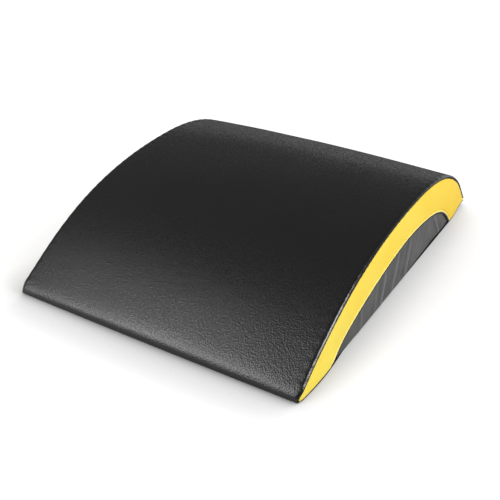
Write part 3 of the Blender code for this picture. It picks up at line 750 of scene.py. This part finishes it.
inset = {
    "lap": 5.0 * mm,           # how far it reaches up behind the band
    "flushHeight": 20.0 * mm,
    # each crease, in mm: its foot's place, lean (back per height), width, how far it stands out, and the
    # heights between which it shows
    "creases": [
        (112.0, 0.30, 2.8, 1.00, 2, 22),
        (121.0, 0.35, 5.0, -0.70, 4, 30),
        (141.0, 0.42, 2.2, 1.10, 3, 26),
        (154.6, 0.48, 2.3, 2.10, 0, 34),
        (161.0, 0.50, 3.6, -1.20, 2, 40),
        (180.0, 0.58, 2.3, 2.10, 4, 46),
        (187.0, 0.56, 4.0, -1.20, 2, 46),
        (199.0, 0.50, 2.2, 0.90, 12, 46),
        (215.3, 0.43, 2.4, 2.10, 2, 46),
        (223.0, 0.40, 4.5, -1.20, 4, 46),
        (240.0, 0.40, 2.4, 0.60, 12, 36),
        (252.0, 0.45, 3.0, 0.80, 4, 36),
        (276.0, -0.20, 7.0, -0.60, 2, 34),
        (298.0, -0.45, 2.6, 0.60, 8, 40),
        (320.5, -0.72, 2.4, 2.20, 0, 38),
        (329.0, -0.68, 4.5, -1.50, 2, 30),
    ],
    "fadeBelow": (4.0 * mm, 6.0 * mm),     # how far a crease fades past its lower end, and how softly
    "fadeAbove": (6.0 * mm, 12.0 * mm),
    "looseHeight": 24.0 * mm,              # the arch's height at which the fabric hangs fully loose
    "looseFoot": 5.0 * mm,                 # it is held by the seam up to this height
    "looseShare": 0.30,                    # and over this share of its height below the band
    "slackOut": 0.25 * mm,
    # how far the foot of the fabric stands out, in mm, at these distances back
    "flare": ((56, 110, 200, 300, 354), (0.0, 1.2, 0.9, -1.2, -0.6)),
    "flareHeight": 10.0 * mm,
    "ripple": 0.10 * mm,                   # fine unevenness, and the size of its bumps
    "rippleSize": 7.0 * mm,
    "turnIn": 0.45 * mm,                   # the foot turns in under itself, where it is sewn to the base
    "turnHeight": 0.5 * mm,
    "highlightFrom": 2.0 * mm,                # creases that stand out this far get a painted highlight along their ridge
    "columns": 521,
    "kneeShare": 0.8,                      # where the lapped part starts, at least, as a share of the height
    "footRows": (0.12, 5),                 # the lowest share of the height, and its rows of points
    "rows": 34,
    "lapRows": 5,
}


def insetDepth(back, height):
    # how far the fabric lies behind the face of the band, and how far its creases stand out
    opening = np.maximum(heightOnArch(back), sewn["base"])
    hang = np.minimum(height / opening, 1)
    bow = smoothStep(opening / inset["flushHeight"]) * (1 - smoothStep(hang))
    lapped = (sewn["leather"] + sewn["gap"]) * (1 - bow)
    loose = smoothStep((1 - hang) / inset["looseShare"])
    loose = loose * smoothStep((height - sewn["base"]) / inset["looseFoot"])
    loose = loose * smoothStep(opening / inset["looseHeight"])
    (pastLow, softLow), (pastHigh, softHigh) = inset["fadeBelow"], inset["fadeAbove"]
    slack = np.zeros_like(lapped)
    for foot, lean, width, proud, low, high in inset["creases"]:
        middle = foot * mm + lean * height
        shape = np.exp(-((back - middle) / (width * mm)) ** 2)
        fade = smoothStep((height - low * mm + pastLow) / softLow)
        fade = fade * smoothStep((high * mm + pastHigh - height) / softHigh)
        slack = slack - proud * mm * shape * fade * loose
    flare = np.interp(back / mm, *inset["flare"]) * mm * (1 - smoothStep(hang * 1.05))
    flare = flare * smoothStep(opening / inset["flareHeight"])
    return lapped + slack + inset["slackOut"] * loose - flare, np.maximum(-slack, 0)


def makeInset(name, side):
    point, normal = lineAt(archLine, np.linspace(0, 1, inset["columns"]))
    top = point + normal * inset["lap"]
    foot = footHeight(top[:, 0])
    knee = np.maximum(heightOnArch(top[:, 0]), foot + (top[:, 1] - foot) * inset["kneeShare"])
    lowShare, lowRows = inset["footRows"]
    rows = np.concatenate([np.linspace(0, lowShare, lowRows)[:-1], np.linspace(lowShare, 1, inset["rows"])])
    hanging = foot[:, None] + (knee - foot)[:, None] * rows
    lapped = knee[:, None] + (top[:, 1] - knee)[:, None] * np.linspace(0, 1, inset["lapRows"])[1:]
    height = np.concatenate([hanging, lapped], 1)
    back = np.broadcast_to(top[:, :1], height.shape)
    depth, proud = insetDepth(back, height)
    x = halfWidth(back, height) - depth
    above = height - foot[:, None]
    ripple = inset["ripple"] * unevenness(inRoom(side * x, back, height), inset["rippleSize"], 3.1)
    x = x + ripple * smoothStep(above / (4 * mm))
    turn = inset["turnIn"] * np.exp(-above / inset["turnHeight"])
    piece = setSheet(name, inRoom(side * (x - turn), back, height),
                     inRoom(side * (x - sewn["fabric"]), back, height), greySides)
    # how far each crease stands out, which the fabric turns into a painted highlight along its ridge
    setStretchAndSheen(piece, np.clip(proud / inset["highlightFrom"], 0, 1) ** 1.3)
    return piece


# Seams: cords with a twist, in the valleys between the panels

cord = {
    "step": 0.9 * mm,
    "sides": 10,
    "plyDepth": 0.12,          # how deep the twist is, as a share of the radius
    "plyPitch": 1.6 * mm,
    "archGap": 0.1 * mm,
    "archDepth": 0.2 * mm,
    "points": 200,
}


def makeCord(name, points, diameter, finish):
    reached = lengthAlong(points)
    spots = np.linspace(0, reached[-1], max(int(reached[-1] / cord["step"]), 8))
    line = readAt(spots, reached, points)
    along = unit(np.gradient(line, spots, axis=0))
    # the small share of x keeps the rings steady where the cord runs upright
    sideways = unit(np.cross(along, [0.0, 0.0, 1.0]) + np.array([1e-4, 0, 0]))
    upward = np.cross(sideways, along)
    turns = np.arange(cord["sides"]) * 2 * math.pi / cord["sides"]
    ply = 1 + cord["plyDepth"] * np.sin(2 * (turns - 2 * math.pi * spots[:, None] / cord["plyPitch"]))
    radius = diameter / 2 * ply / (1 + cord["plyDepth"])
    fromEnd = np.minimum(spots, reached[-1] - spots)
    radius = radius * np.sqrt(np.clip(fromEnd / (diameter / 2) + 0.05, 0.05, 1))[:, None]
    ring = line[:, None] + radius[..., None] * (np.cos(turns)[None, :, None] * sideways[:, None]
                                                + np.sin(turns)[None, :, None] * upward[:, None])
    return setPiece(name, ring, tubeFaces(len(spots), cord["sides"]), finish)


def topSeamPoints(side):
    share = np.linspace(band["seamStart"] / seamLine["length"], 1, cord["points"])
    point, normal = lineAt(seamLine, share)
    point = point + normal * seamShift(share)[:, None]
    x = halfWidth(point[:, 0], point[:, 1]) - cover["cordDepth"]
    return inRoom(side * x, point[:, 0], point[:, 1])


def archSeamPoints(side):
    reach = sewn["archSeam"] / 2 + cord["archGap"]
    point, normal = lineAt(archLine, np.linspace(0, 1, cord["points"]))
    point = point - normal * reach
    point = point[point[:, 1] > footHeight(point[:, 0]) + reach]
    x = halfWidth(point[:, 0], point[:, 1]) - cord["archDepth"]
    return inRoom(side * x, point[:, 0], point[:, 1])


# The base, its printed dots and its hem stitches

base = {
    "rearEdge": 1.5 * mm,
    "dotPitch": 9.0 * mm,
    "dotRadius": 1.5 * mm,
    "dotHeight": 0.4 * mm,
    "dotMargin": 6.0 * mm,     # from the hem's stitches to the first dots
    # a dot's section, from the cloth down: shares of its radius, and of its height
    "dotShares": ((1.0, 0.97, 0.80, 0.45, 0.1), (-0.2, 0.35, 0.75, 0.95, 1.0)),
    "hemInset": 5.0 * mm,
    "hemWidth": 8.0 * mm,
    "hemThick": 0.2 * mm,      # how much farther down the doubled hem lies
    "edgeRound": 0.35 * mm,
    "edgeRows": (0, 0.15, 0.4, 0.9),               # mm from the front and from the rear edge
    "rows": 110,
    "edgeShares": (1, 0.998, 0.995),               # shares of the half width
    "columns": 81,
}
rearEnd = body["tip"][0] + base["rearEdge"]


def makeBase():
    sideShare = np.array(base["edgeShares"])
    acrossShare = np.concatenate([-sideShare, np.linspace(-0.99, 0.99, base["columns"]), sideShare[::-1]])
    edgeRows = np.array(base["edgeRows"]) * mm
    back = np.concatenate([edgeRows, np.linspace(2 * mm, rearEnd - 2 * mm, base["rows"]),
                           rearEnd - edgeRows[::-1]])
    edge = halfWidth(back, 0)[:, None]
    x = acrossShare * edge
    y = np.broadcast_to(back[:, None], x.shape)
    lift = baseLift(np.abs(x), y)
    away = np.minimum(np.minimum(y, rearEnd - y), edge - np.abs(x))
    rounded = roundedOff(away, base["edgeRound"])
    fold = base["hemThick"] * smoothStep((base["hemWidth"] - away) / (1.0 * mm))
    under = inRoom(x, y, lift + base["dotHeight"] - fold + rounded)
    top = inRoom(x, y, lift + sewn["base"] - rounded)
    return setSheet("basePanel", under, top, baseCloth)


def makeBaseDots():
    # low rubber dots, printed in a staggered pattern, that touch the floor
    pitch, inside = base["dotPitch"], base["hemInset"] + base["dotMargin"]
    rowPitch = pitch * math.sqrt(3) / 2
    spots = []
    for r in range(int((rearEnd - 2 * inside) / rowPitch) + 1):
        back = inside + r * rowPitch
        half = float(halfWidth(back, 0)) - inside
        count = int(2 * half / pitch)
        for c in range(count + 1):
            x = (c - count / 2) * pitch + (pitch / 2 if r % 2 else 0)
            if abs(x) < half:
                spots.append((x, back))
    spots = np.array(spots)
    lift = baseLift(np.abs(spots[:, 0]), spots[:, 1]) + base["dotHeight"]
    radiusShares, heightShares = np.array(base["dotShares"])
    dot, faces = tubeShape(radiusShares * base["dotRadius"], heightShares * base["dotHeight"], 10)
    down = np.tile([0.0, 0.0, -1.0], (len(spots), 1))
    outward = np.tile([1.0, 0.0, 0.0], (len(spots), 1))
    points, faces = beads(dot, faces, inRoom(spots[:, 0], spots[:, 1], lift), down, outward)
    return setPiece("baseDots", points, faces, rubberDots)


stitches = {
    "pitch": 3.6 * mm,
    "radiusShares": (0.3, 0.8, 1.0, 0.8, 0.3),     # along one stitch
    "baseLength": 2.7 * mm,
    "baseRadius": 0.2 * mm,
    "rearLength": 2.8 * mm,
    "rearRadius": 0.24 * mm,
    "sunk": 0.05 * mm,         # how far the thread's middle lies from the face that it is pressed into
    "rearInset": 5.5 * mm,     # the rear row's distance from the cover's rear edge
    "rearMargin": 8.0 * mm,    # and from the sides
}


def stitchRow(name, line, outward, length, radius):
    # single stitches along a line in the room, pressed a little into what they hold
    reached = lengthAlong(line)
    pitch = stitches["pitch"]
    spots = np.arange(pitch / 2, reached[-1] - pitch / 2, pitch)
    ahead, behind = readAt(spots + length / 4, reached, line), readAt(spots - length / 4, reached, line)
    stitch, faces = stitchShape(length, np.array(stitches["radiusShares"]) * radius)
    points, faces = beads(stitch, faces, readAt(spots, reached, line), unit(ahead - behind),
                          np.tile(outward, (len(spots), 1)))
    return setPiece(name, points, faces, blackThread)


def makeBaseStitches():
    inside = base["hemInset"]
    back = np.linspace(inside, rearEnd - inside, 120)
    half = halfWidth(back, 0) - inside
    front = np.linspace(-half[0], half[0], 60)
    rear = np.linspace(half[-1], -half[-1], 60)
    x = np.concatenate([front, half[1:], rear[1:], -half[::-1][1:]])
    y = np.concatenate([np.full(60, back[0]), back[1:], np.full(59, back[-1]), back[::-1][1:]])
    z = baseLift(np.abs(x), y) + base["dotHeight"] - base["hemThick"] - stitches["sunk"]
    return stitchRow("baseHemStitches", inRoom(x, y, z), [0.0, 0.0, -1.0],
                     stitches["baseLength"], stitches["baseRadius"])


def makeRearStitches():
    # the row that holds the zip's upper tape, just above the cover's rear edge
    x = np.linspace(-tipHalf + stitches["rearMargin"], tipHalf - stitches["rearMargin"], 160)
    point, normal = lineAt(seamLine, 1 - stitches["rearInset"] / seamLine["length"])
    lift = topLift(x / tipHalf) + stitches["sunk"]
    line = inRoom(x, point[0] + normal[0] * lift, point[1] + normal[1] * lift)
    return stitchRow("rearEdgeStitches", line, [0.0, normal[0], normal[1]],
                     stitches["rearLength"], stitches["rearRadius"])


# The foam block

foam = {
    "front": 3.0 * mm,
    "rear": 397.6 * mm,
    "lipEnd": 14.0 * mm,       # its rows of points are closer together up to here
    "tapeEnd": 393.6 * mm,     # behind this it is pressed in by the zip's tape
    "tapeDip": 0.8 * mm,
    "play": 0.35 * mm,         # between the foam and the sheets above and below it
    "sidePlay": 0.8 * mm,
    "edgeRound": 1.2 * mm,
    "roundShare": 0.35,        # at most this share of its height is rounded, where it is thin
    "edgeShares": (1, 0.994, 0.985),
    "columns": 41,
}


def makeFoam():
    side = sewn["leather"] + sewn["gap"] + sewn["fabric"] + foam["sidePlay"]
    front, rear, tapeEnd = foam["front"], foam["rear"], foam["tapeEnd"]
    back = np.concatenate([np.linspace(front, foam["lipEnd"], 12),
                           np.linspace(foam["lipEnd"], tapeEnd, 90)[1:],
                           np.linspace(tapeEnd, rear, 6)[1:]])
    sideShare = np.array(foam["edgeShares"])
    across = np.concatenate([-sideShare, np.linspace(-0.97, 0.97, foam["columns"]), sideShare[::-1]])
    share = np.linspace(0, 1, 1500)
    point, normal = lineAt(seamLine, share)
    skin = sewn["leather"] + foam["play"]
    top = np.zeros((len(back), len(across)))
    for k, a in enumerate(across):
        lift = seamReach + cover["band"] + (cover["roll"] + crown(a)) * swell(share) - skin
        line = point + normal * lift[:, None]
        top[:, k] = np.interp(back, line[:, 0], line[:, 1])
    dip = np.where(back >= tapeEnd - 0.5 * mm, foam["tapeDip"], 0)[:, None]
    half = halfWidth(back, 0)[:, None] - side
    x = across * half
    y = np.broadcast_to(back[:, None], x.shape)
    top = top - dip
    low = baseLift(np.abs(x) + side, y) + sewn["base"] + foam["play"] + dip
    away = np.minimum(np.minimum(y - front, rear - y), half - np.abs(x))
    rounded = roundedOff(away, np.minimum(foam["edgeRound"], (top - low) * foam["roundShare"]))
    return setSheet("foamBlock", inRoom(x, y, top - rounded), inRoom(x, y, low + rounded), foamSkin)


# The zip along the rear edge

zipper = {
    "plane": 402.6 * mm,
    "height": 5.5 * mm,
    "chainWidth": 4.2 * mm,
    "chainDepth": 1.9 * mm,
    "middleGap": 1.0 * mm,
    "pitch": 2.6 * mm,
    "toothShare": 0.55,        # of the pitch
    "toothRound": 0.22 * mm,
    "cord": 1.35 * mm,         # the cord that the teeth are moulded round
    "cordInset": 0.7 * mm,     # how far its middle lies in from their outer ends
    "length": 220.0 * mm,
    "tapeLength": 274.0 * mm,
    "tape": 0.45 * mm,
    "tail": 8.5 * mm,          # how far the tape reaches in under the cover or over the base
    "tapeWave": 0.06 * mm,
    "tapeWaveRun": 2.3 * mm,
}


def makeTape(name, upper):
    thick, plane = zipper["tape"], zipper["plane"]
    webEnd = zipper["height"] + (1 if upper else -1) * (zipper["chainWidth"] / 2 + sewn["gap"])
    point, normal = lineAt(seamLine, np.linspace(0.7, 1, 600))
    at = plane - np.linspace(0, 1, 9) * zipper["tail"]
    columns = []
    for a in np.linspace(-zipper["tapeLength"] / 2, zipper["tapeLength"] / 2, 181):
        if upper:
            line = point + normal * (topLift(a / tipHalf) - sewn["leather"] - sewn["gap"] - thick / 2)
            height = np.interp(at, line[:, 0], line[:, 1])
        else:
            height = np.full_like(at, sewn["base"] + sewn["gap"] + thick / 2)
        web = np.linspace(webEnd, height[0], 5)[:-1]
        line = np.concatenate([np.stack([np.full_like(web, plane), web], -1), np.stack([at, height], -1)])
        columns.append(inRoom(a, line[:, 0], line[:, 1]))
    middle = np.stack(columns, 1)
    middle[:4, :, 1] += zipper["tapeWave"] * np.sin(middle[:4, :, 0] / zipper["tapeWaveRun"])
    acrossRows = unit(np.gradient(middle, axis=0))
    alongColumns = unit(np.gradient(middle, axis=1))
    offset = unit(np.cross(acrossRows, alongColumns)) * thick / 2
    return setSheet(name, middle + offset, middle - offset, tapeCloth)


def roundedBlock(size, bevel):
    # a block with rounded corners, as points and faces for copying
    shape = bmesh.new()
    bmesh.ops.create_cube(shape, size=1)
    for v in shape.verts:
        v.co = Vector(c * s for c, s in zip(v.co, size))
    bmesh.ops.bevel(shape, geom=shape.edges[:], offset=bevel, segments=2, profile=0.5, affect="EDGES")
    points = np.array([v.co[:] for v in shape.verts])
    faces = [tuple(v.index for v in f.verts) for f in shape.faces]
    shape.free()
    return points, faces


def makeTeeth(name, upper):
    side = 1 if upper else -1
    outer, tip, pitch = zipper["chainWidth"] / 2, zipper["middleGap"] / 2, zipper["pitch"]
    size = (pitch * zipper["toothShare"], outer - tip, zipper["chainDepth"])
    tooth, faces = roundedBlock(size, zipper["toothRound"])
    shift = 0 if upper else pitch / 2
    count = int((zipper["length"] - pitch) / pitch)
    x = zipper["length"] / 2 - shift - pitch * (np.arange(count) + 0.5)
    places = inRoom(x, zipper["plane"], zipper["height"] + side * (outer + tip) / 2)
    along = np.tile([1.0, 0.0, 0.0], (count, 1))
    outward = np.tile([0.0, 1.0, 0.0], (count, 1))
    points, allFaces = beads(tooth, faces, places, along, outward)
    bead, beadFaces = tubeShape(np.array([0.3, 0.5, 0.5, 0.3]) * zipper["cord"],
                                np.array([-0.5, -0.496, 0.496, 0.5]) * zipper["length"], 12)
    bead = bead + inRoom(0.0, zipper["plane"], zipper["height"] + side * (outer - zipper["cordInset"]))
    allFaces += [tuple(v + len(points) for v in face) for face in beadFaces]
    return setPiece(name, np.concatenate([points, bead]), allFaces, coilNylon)


# The facing at each rear corner, where the cover is sewn straight down to the base beyond the tape's end

facing = {
    "start": 133.0 * mm,
    "sideGap": 1.9 * mm,
    "behindCover": 0.25 * mm,
    "fromEdge": 0.9 * mm,      # how far in from the cover's rear edge it starts
    "proud": 0.7 * mm,         # how far it bulges half way down
    "thick": 0.9 * mm,
    "footBack": 0.2 * mm,
    "footPlay": 0.05 * mm,
    "stretch": 0.7,
}


def makeCornerFacing(name, side):
    point, normal = lineAt(seamLine, 1.0)
    tip = body["tip"][0]
    steps = np.linspace(0, 1, 9)[:, None]
    columns = []
    for a in np.linspace(facing["start"], tipHalf - facing["sideGap"], 24):
        lift = topLift(a / tipHalf) - sewn["leather"] - facing["behindCover"]
        upper = point + normal * lift - np.array([normal[1], -normal[0]]) * facing["fromEdge"]
        low = np.array([tip + facing["footBack"], baseLift(a, tip) + sewn["base"] + facing["footPlay"]])
        line = low + (upper - low) * steps
        line[:, 0] += facing["proud"] * np.sin(math.pi * steps[:, 0])
        columns.append(inRoom(side * a, line[:, 0], line[:, 1]))
    outer = np.stack(columns, 1)
    piece = setSheet(name, outer, outer - np.array([0, facing["thick"], 0]), blackCover)
    setStretchAndSheen(piece, np.full(outer.shape[:2], facing["stretch"]))
    return piece


# All the pieces, and what each one stands for

def settle(piece, slot, *nodes, body="cushion"):
    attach(piece, body)
    if nodes:
        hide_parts(*nodes)
    return piece


foamBlock = settle(makeFoam(), "foam", "foam_core")
topCover = settle(makeCover(), "black_leather", "top_cover")
settle(makeBase(), "base_fabric", "base_panel")
settle(makeBaseDots(), "base_fabric")
settle(makeBaseStitches(), "thread")
for hand, side in (("right", 1), ("left", -1)):
    title = hand.capitalize()
    settle(makeBand("sideBand" + title, side), "yellow_leather", "side_panel_" + hand)
    settle(makeBandStitches("bandStitches" + title, side), "yellow_leather")
    settle(makeInset("sideInset" + title, side), "grey_fabric", "side_inset_" + hand)
    settle(makeCord("topSeam" + title, topSeamPoints(side), sewn["seam"], blackThread),
           "thread", "top_seam_" + hand)
    settle(makeCord("archSeam" + title, archSeamPoints(side), sewn["archSeam"], blackThread),
           "thread", "arch_seam_" + hand)
    settle(makeCornerFacing("cornerFacing" + title, side), "black_leather")
for level, upper in (("upper", True), ("lower", False)):
    title = level.capitalize()
    settle(makeTape("zipTape" + title, upper), "zip_tape", "zip_tape_" + level)
    settle(makeTeeth("zipTeeth" + title, upper), "zip_plastic", "zip_teeth_" + level)
settle(makeRearStitches(), "thread")
for name in ("zip_end_stop_right", "zip_end_stop_left", "zip_slider", "zip_pull"):
    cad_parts[name].data.materials.clear()
    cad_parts[name].data.materials.append(coatedMetal)


# Studio: a floor that stays white round the soft shadow, which is partly painted into its glow, surroundings
# that dim overhead, and two plain lamps

studio = {
    "ceiling": 0.23,         # how bright the surroundings are overhead, where the backdrop is 1
    "backdropTop": (0.0, 0.09),    # the heights, as sines, between which the backdrop ends
    "floorColour": "#8a8a8a",
    "floorHalf": 8.0,
    "floorDrop": 0.2 * mm,
    # lifts the open floor to white for the camera: distances in metres, and the strengths that they go with
    "glowFar": (0.4, 2.5, 0.84, 1.0),
    "glowFrom": (0.28, 0.87, 0.40),    # the glow's painted shadow is shaded as if the light came from behind and above
    "glowShades": ((0.12, 1.15), (0.04, 1.0)),    # how far each shading reaches, and how steeply it falls
    "target": (0.0, 0.0, 0.03),
    # each lamp: direction from the target, distance, width, height, power
    "lamps": {
        "softboxFront": ((-0.39, -0.73, 0.56), 1.6, 1.05, 1.25, 37.0),
        "softboxRight": ((0.88, 0.05, 0.47), 1.7, 0.60, 0.45, 20.0),
    },
}


def makeSurroundings():
    # a white backdrop all round under a dim ceiling, which the camera and glass see as white too
    world = bpy.data.worlds.new("studioSurroundings")
    bpy.context.scene.world = world
    world.use_nodes = True
    tree = world.node_tree
    direction = addNode(tree, "TexCoord").outputs["Generated"]
    upward = addNode(tree, "SeparateXYZ", {}, {0: direction}).outputs["Z"]
    backdrop = addNode(tree, "MapRange", dict(zip(spans, (*studio["backdropTop"], 1.0, studio["ceiling"]))),
                       {"Value": upward})
    rays = addNode(tree, "LightPath")
    direct = addNode(tree, "Math", {"operation": "MAXIMUM"},
                     {0: rays.outputs["Is Camera Ray"], 1: rays.outputs["Is Transmission Ray"]})
    strength = addNode(tree, "Math", {"operation": "MAXIMUM"}, {0: backdrop.outputs[0], 1: direct.outputs[0]})
    tree.links.new(strength.outputs[0], tree.nodes["Background"].inputs["Strength"])
    tree.nodes["Background"].inputs["Color"].default_value = (1, 1, 1, 1)


def floorPaper():
    # matt grey paper, whose glow is seen by camera, gloss and glass alone and lights nothing; the glow is
    # darkened round the object into a painted shadow
    material = bpy.data.materials.new("studioFloorPaper")
    material.use_nodes = True
    tree = material.node_tree
    tree.nodes.clear()
    paper = addNode(tree, "BsdfDiffuse", {"Color": toLinear(studio["floorColour"])})
    glowSide = addNode(tree, "CombineXYZ", dict(zip("XYZ", studio["glowFrom"])))
    place = addNode(tree, "TexCoord").outputs["Object"]
    far = addNode(tree, "VectorMath", {"operation": "LENGTH"}, {0: place}).outputs["Value"]
    kept = addNode(tree, "MapRange", dict(zip(spans, studio["glowFar"])), {"Value": far}).outputs[0]
    for reach, fall in studio["glowShades"]:
        shading = addNode(tree, "AmbientOcclusion", {"samples": 24, "Distance": reach},
                          {"Normal": glowSide.outputs[0]})
        steeper = addNode(tree, "Math", {"operation": "POWER", 1: fall}, {0: shading.outputs["AO"]})
        kept = addNode(tree, "Math", {"operation": "MULTIPLY"}, {0: steeper.outputs[0], 1: kept}).outputs[0]
    rays = addNode(tree, "LightPath")
    seen = addNode(tree, "Math", {"operation": "MAXIMUM"},
                   {0: rays.outputs["Is Camera Ray"], 1: rays.outputs["Is Glossy Ray"]})
    seen = addNode(tree, "Math", {"operation": "MAXIMUM"},
                   {0: seen.outputs[0], 1: rays.outputs["Is Transmission Ray"]})
    strength = addNode(tree, "Math", {"operation": "MULTIPLY"}, {0: kept, 1: seen.outputs[0]})
    glow = addNode(tree, "Emission", {}, {"Strength": strength.outputs[0]})
    both = addNode(tree, "AddShader", {}, {0: paper.outputs[0], 1: glow.outputs[0]})
    addNode(tree, "OutputMaterial", {}, {"Surface": both.outputs[0]})
    return material


def makeFloor():
    half = studio["floorHalf"]
    corners = [(-half, -half, 0), (half, -half, 0), (half, half, 0), (-half, half, 0)]
    floor = setPiece("studioFloor", corners, [(0, 1, 2, 3)], floorPaper())
    floor.location.z = -studio["floorDrop"]


def makeLamps():
    for name, (direction, distance, width, height, power) in studio["lamps"].items():
        lamp = bpy.data.lights.new(name, "AREA")
        lamp.shape, lamp.size, lamp.size_y, lamp.energy = "RECTANGLE", width, height, power
        holder = bpy.data.objects.new(name, lamp)
        bpy.context.scene.collection.objects.link(holder)
        away = Vector(direction).normalized()
        holder.location = Vector(studio["target"]) + away * distance
        holder.rotation_mode = "QUATERNION"
        holder.rotation_quaternion = away.to_track_quat("Z", "Y")


view = {"place": (0.3732, -0.6399, 0.4374), "turn": 31.43, "tilt": 31.01, "lens": 57.85, "sensor": 36.0}


def makeCamera():
    camera = bpy.data.cameras.new("photoCamera")
    camera.lens, camera.sensor_width = view["lens"], view["sensor"]
    holder = bpy.data.objects.new("photoCamera", camera)
    bpy.context.scene.collection.objects.link(holder)
    turn, tilt = math.radians(view["turn"]), math.radians(view["tilt"])
    ahead = Vector((-math.sin(turn) * math.cos(tilt), math.cos(turn) * math.cos(tilt), -math.sin(tilt)))
    holder.location = view["place"]
    holder.rotation_mode = "QUATERNION"
    holder.rotation_quaternion = ahead.to_track_quat("-Z", "Y")
    bpy.context.scene.camera = holder


bpy.context.scene.view_settings.view_transform = "Standard"
makeSurroundings()
makeFloor()
makeLamps()
makeCamera()
print("studio and camera made")
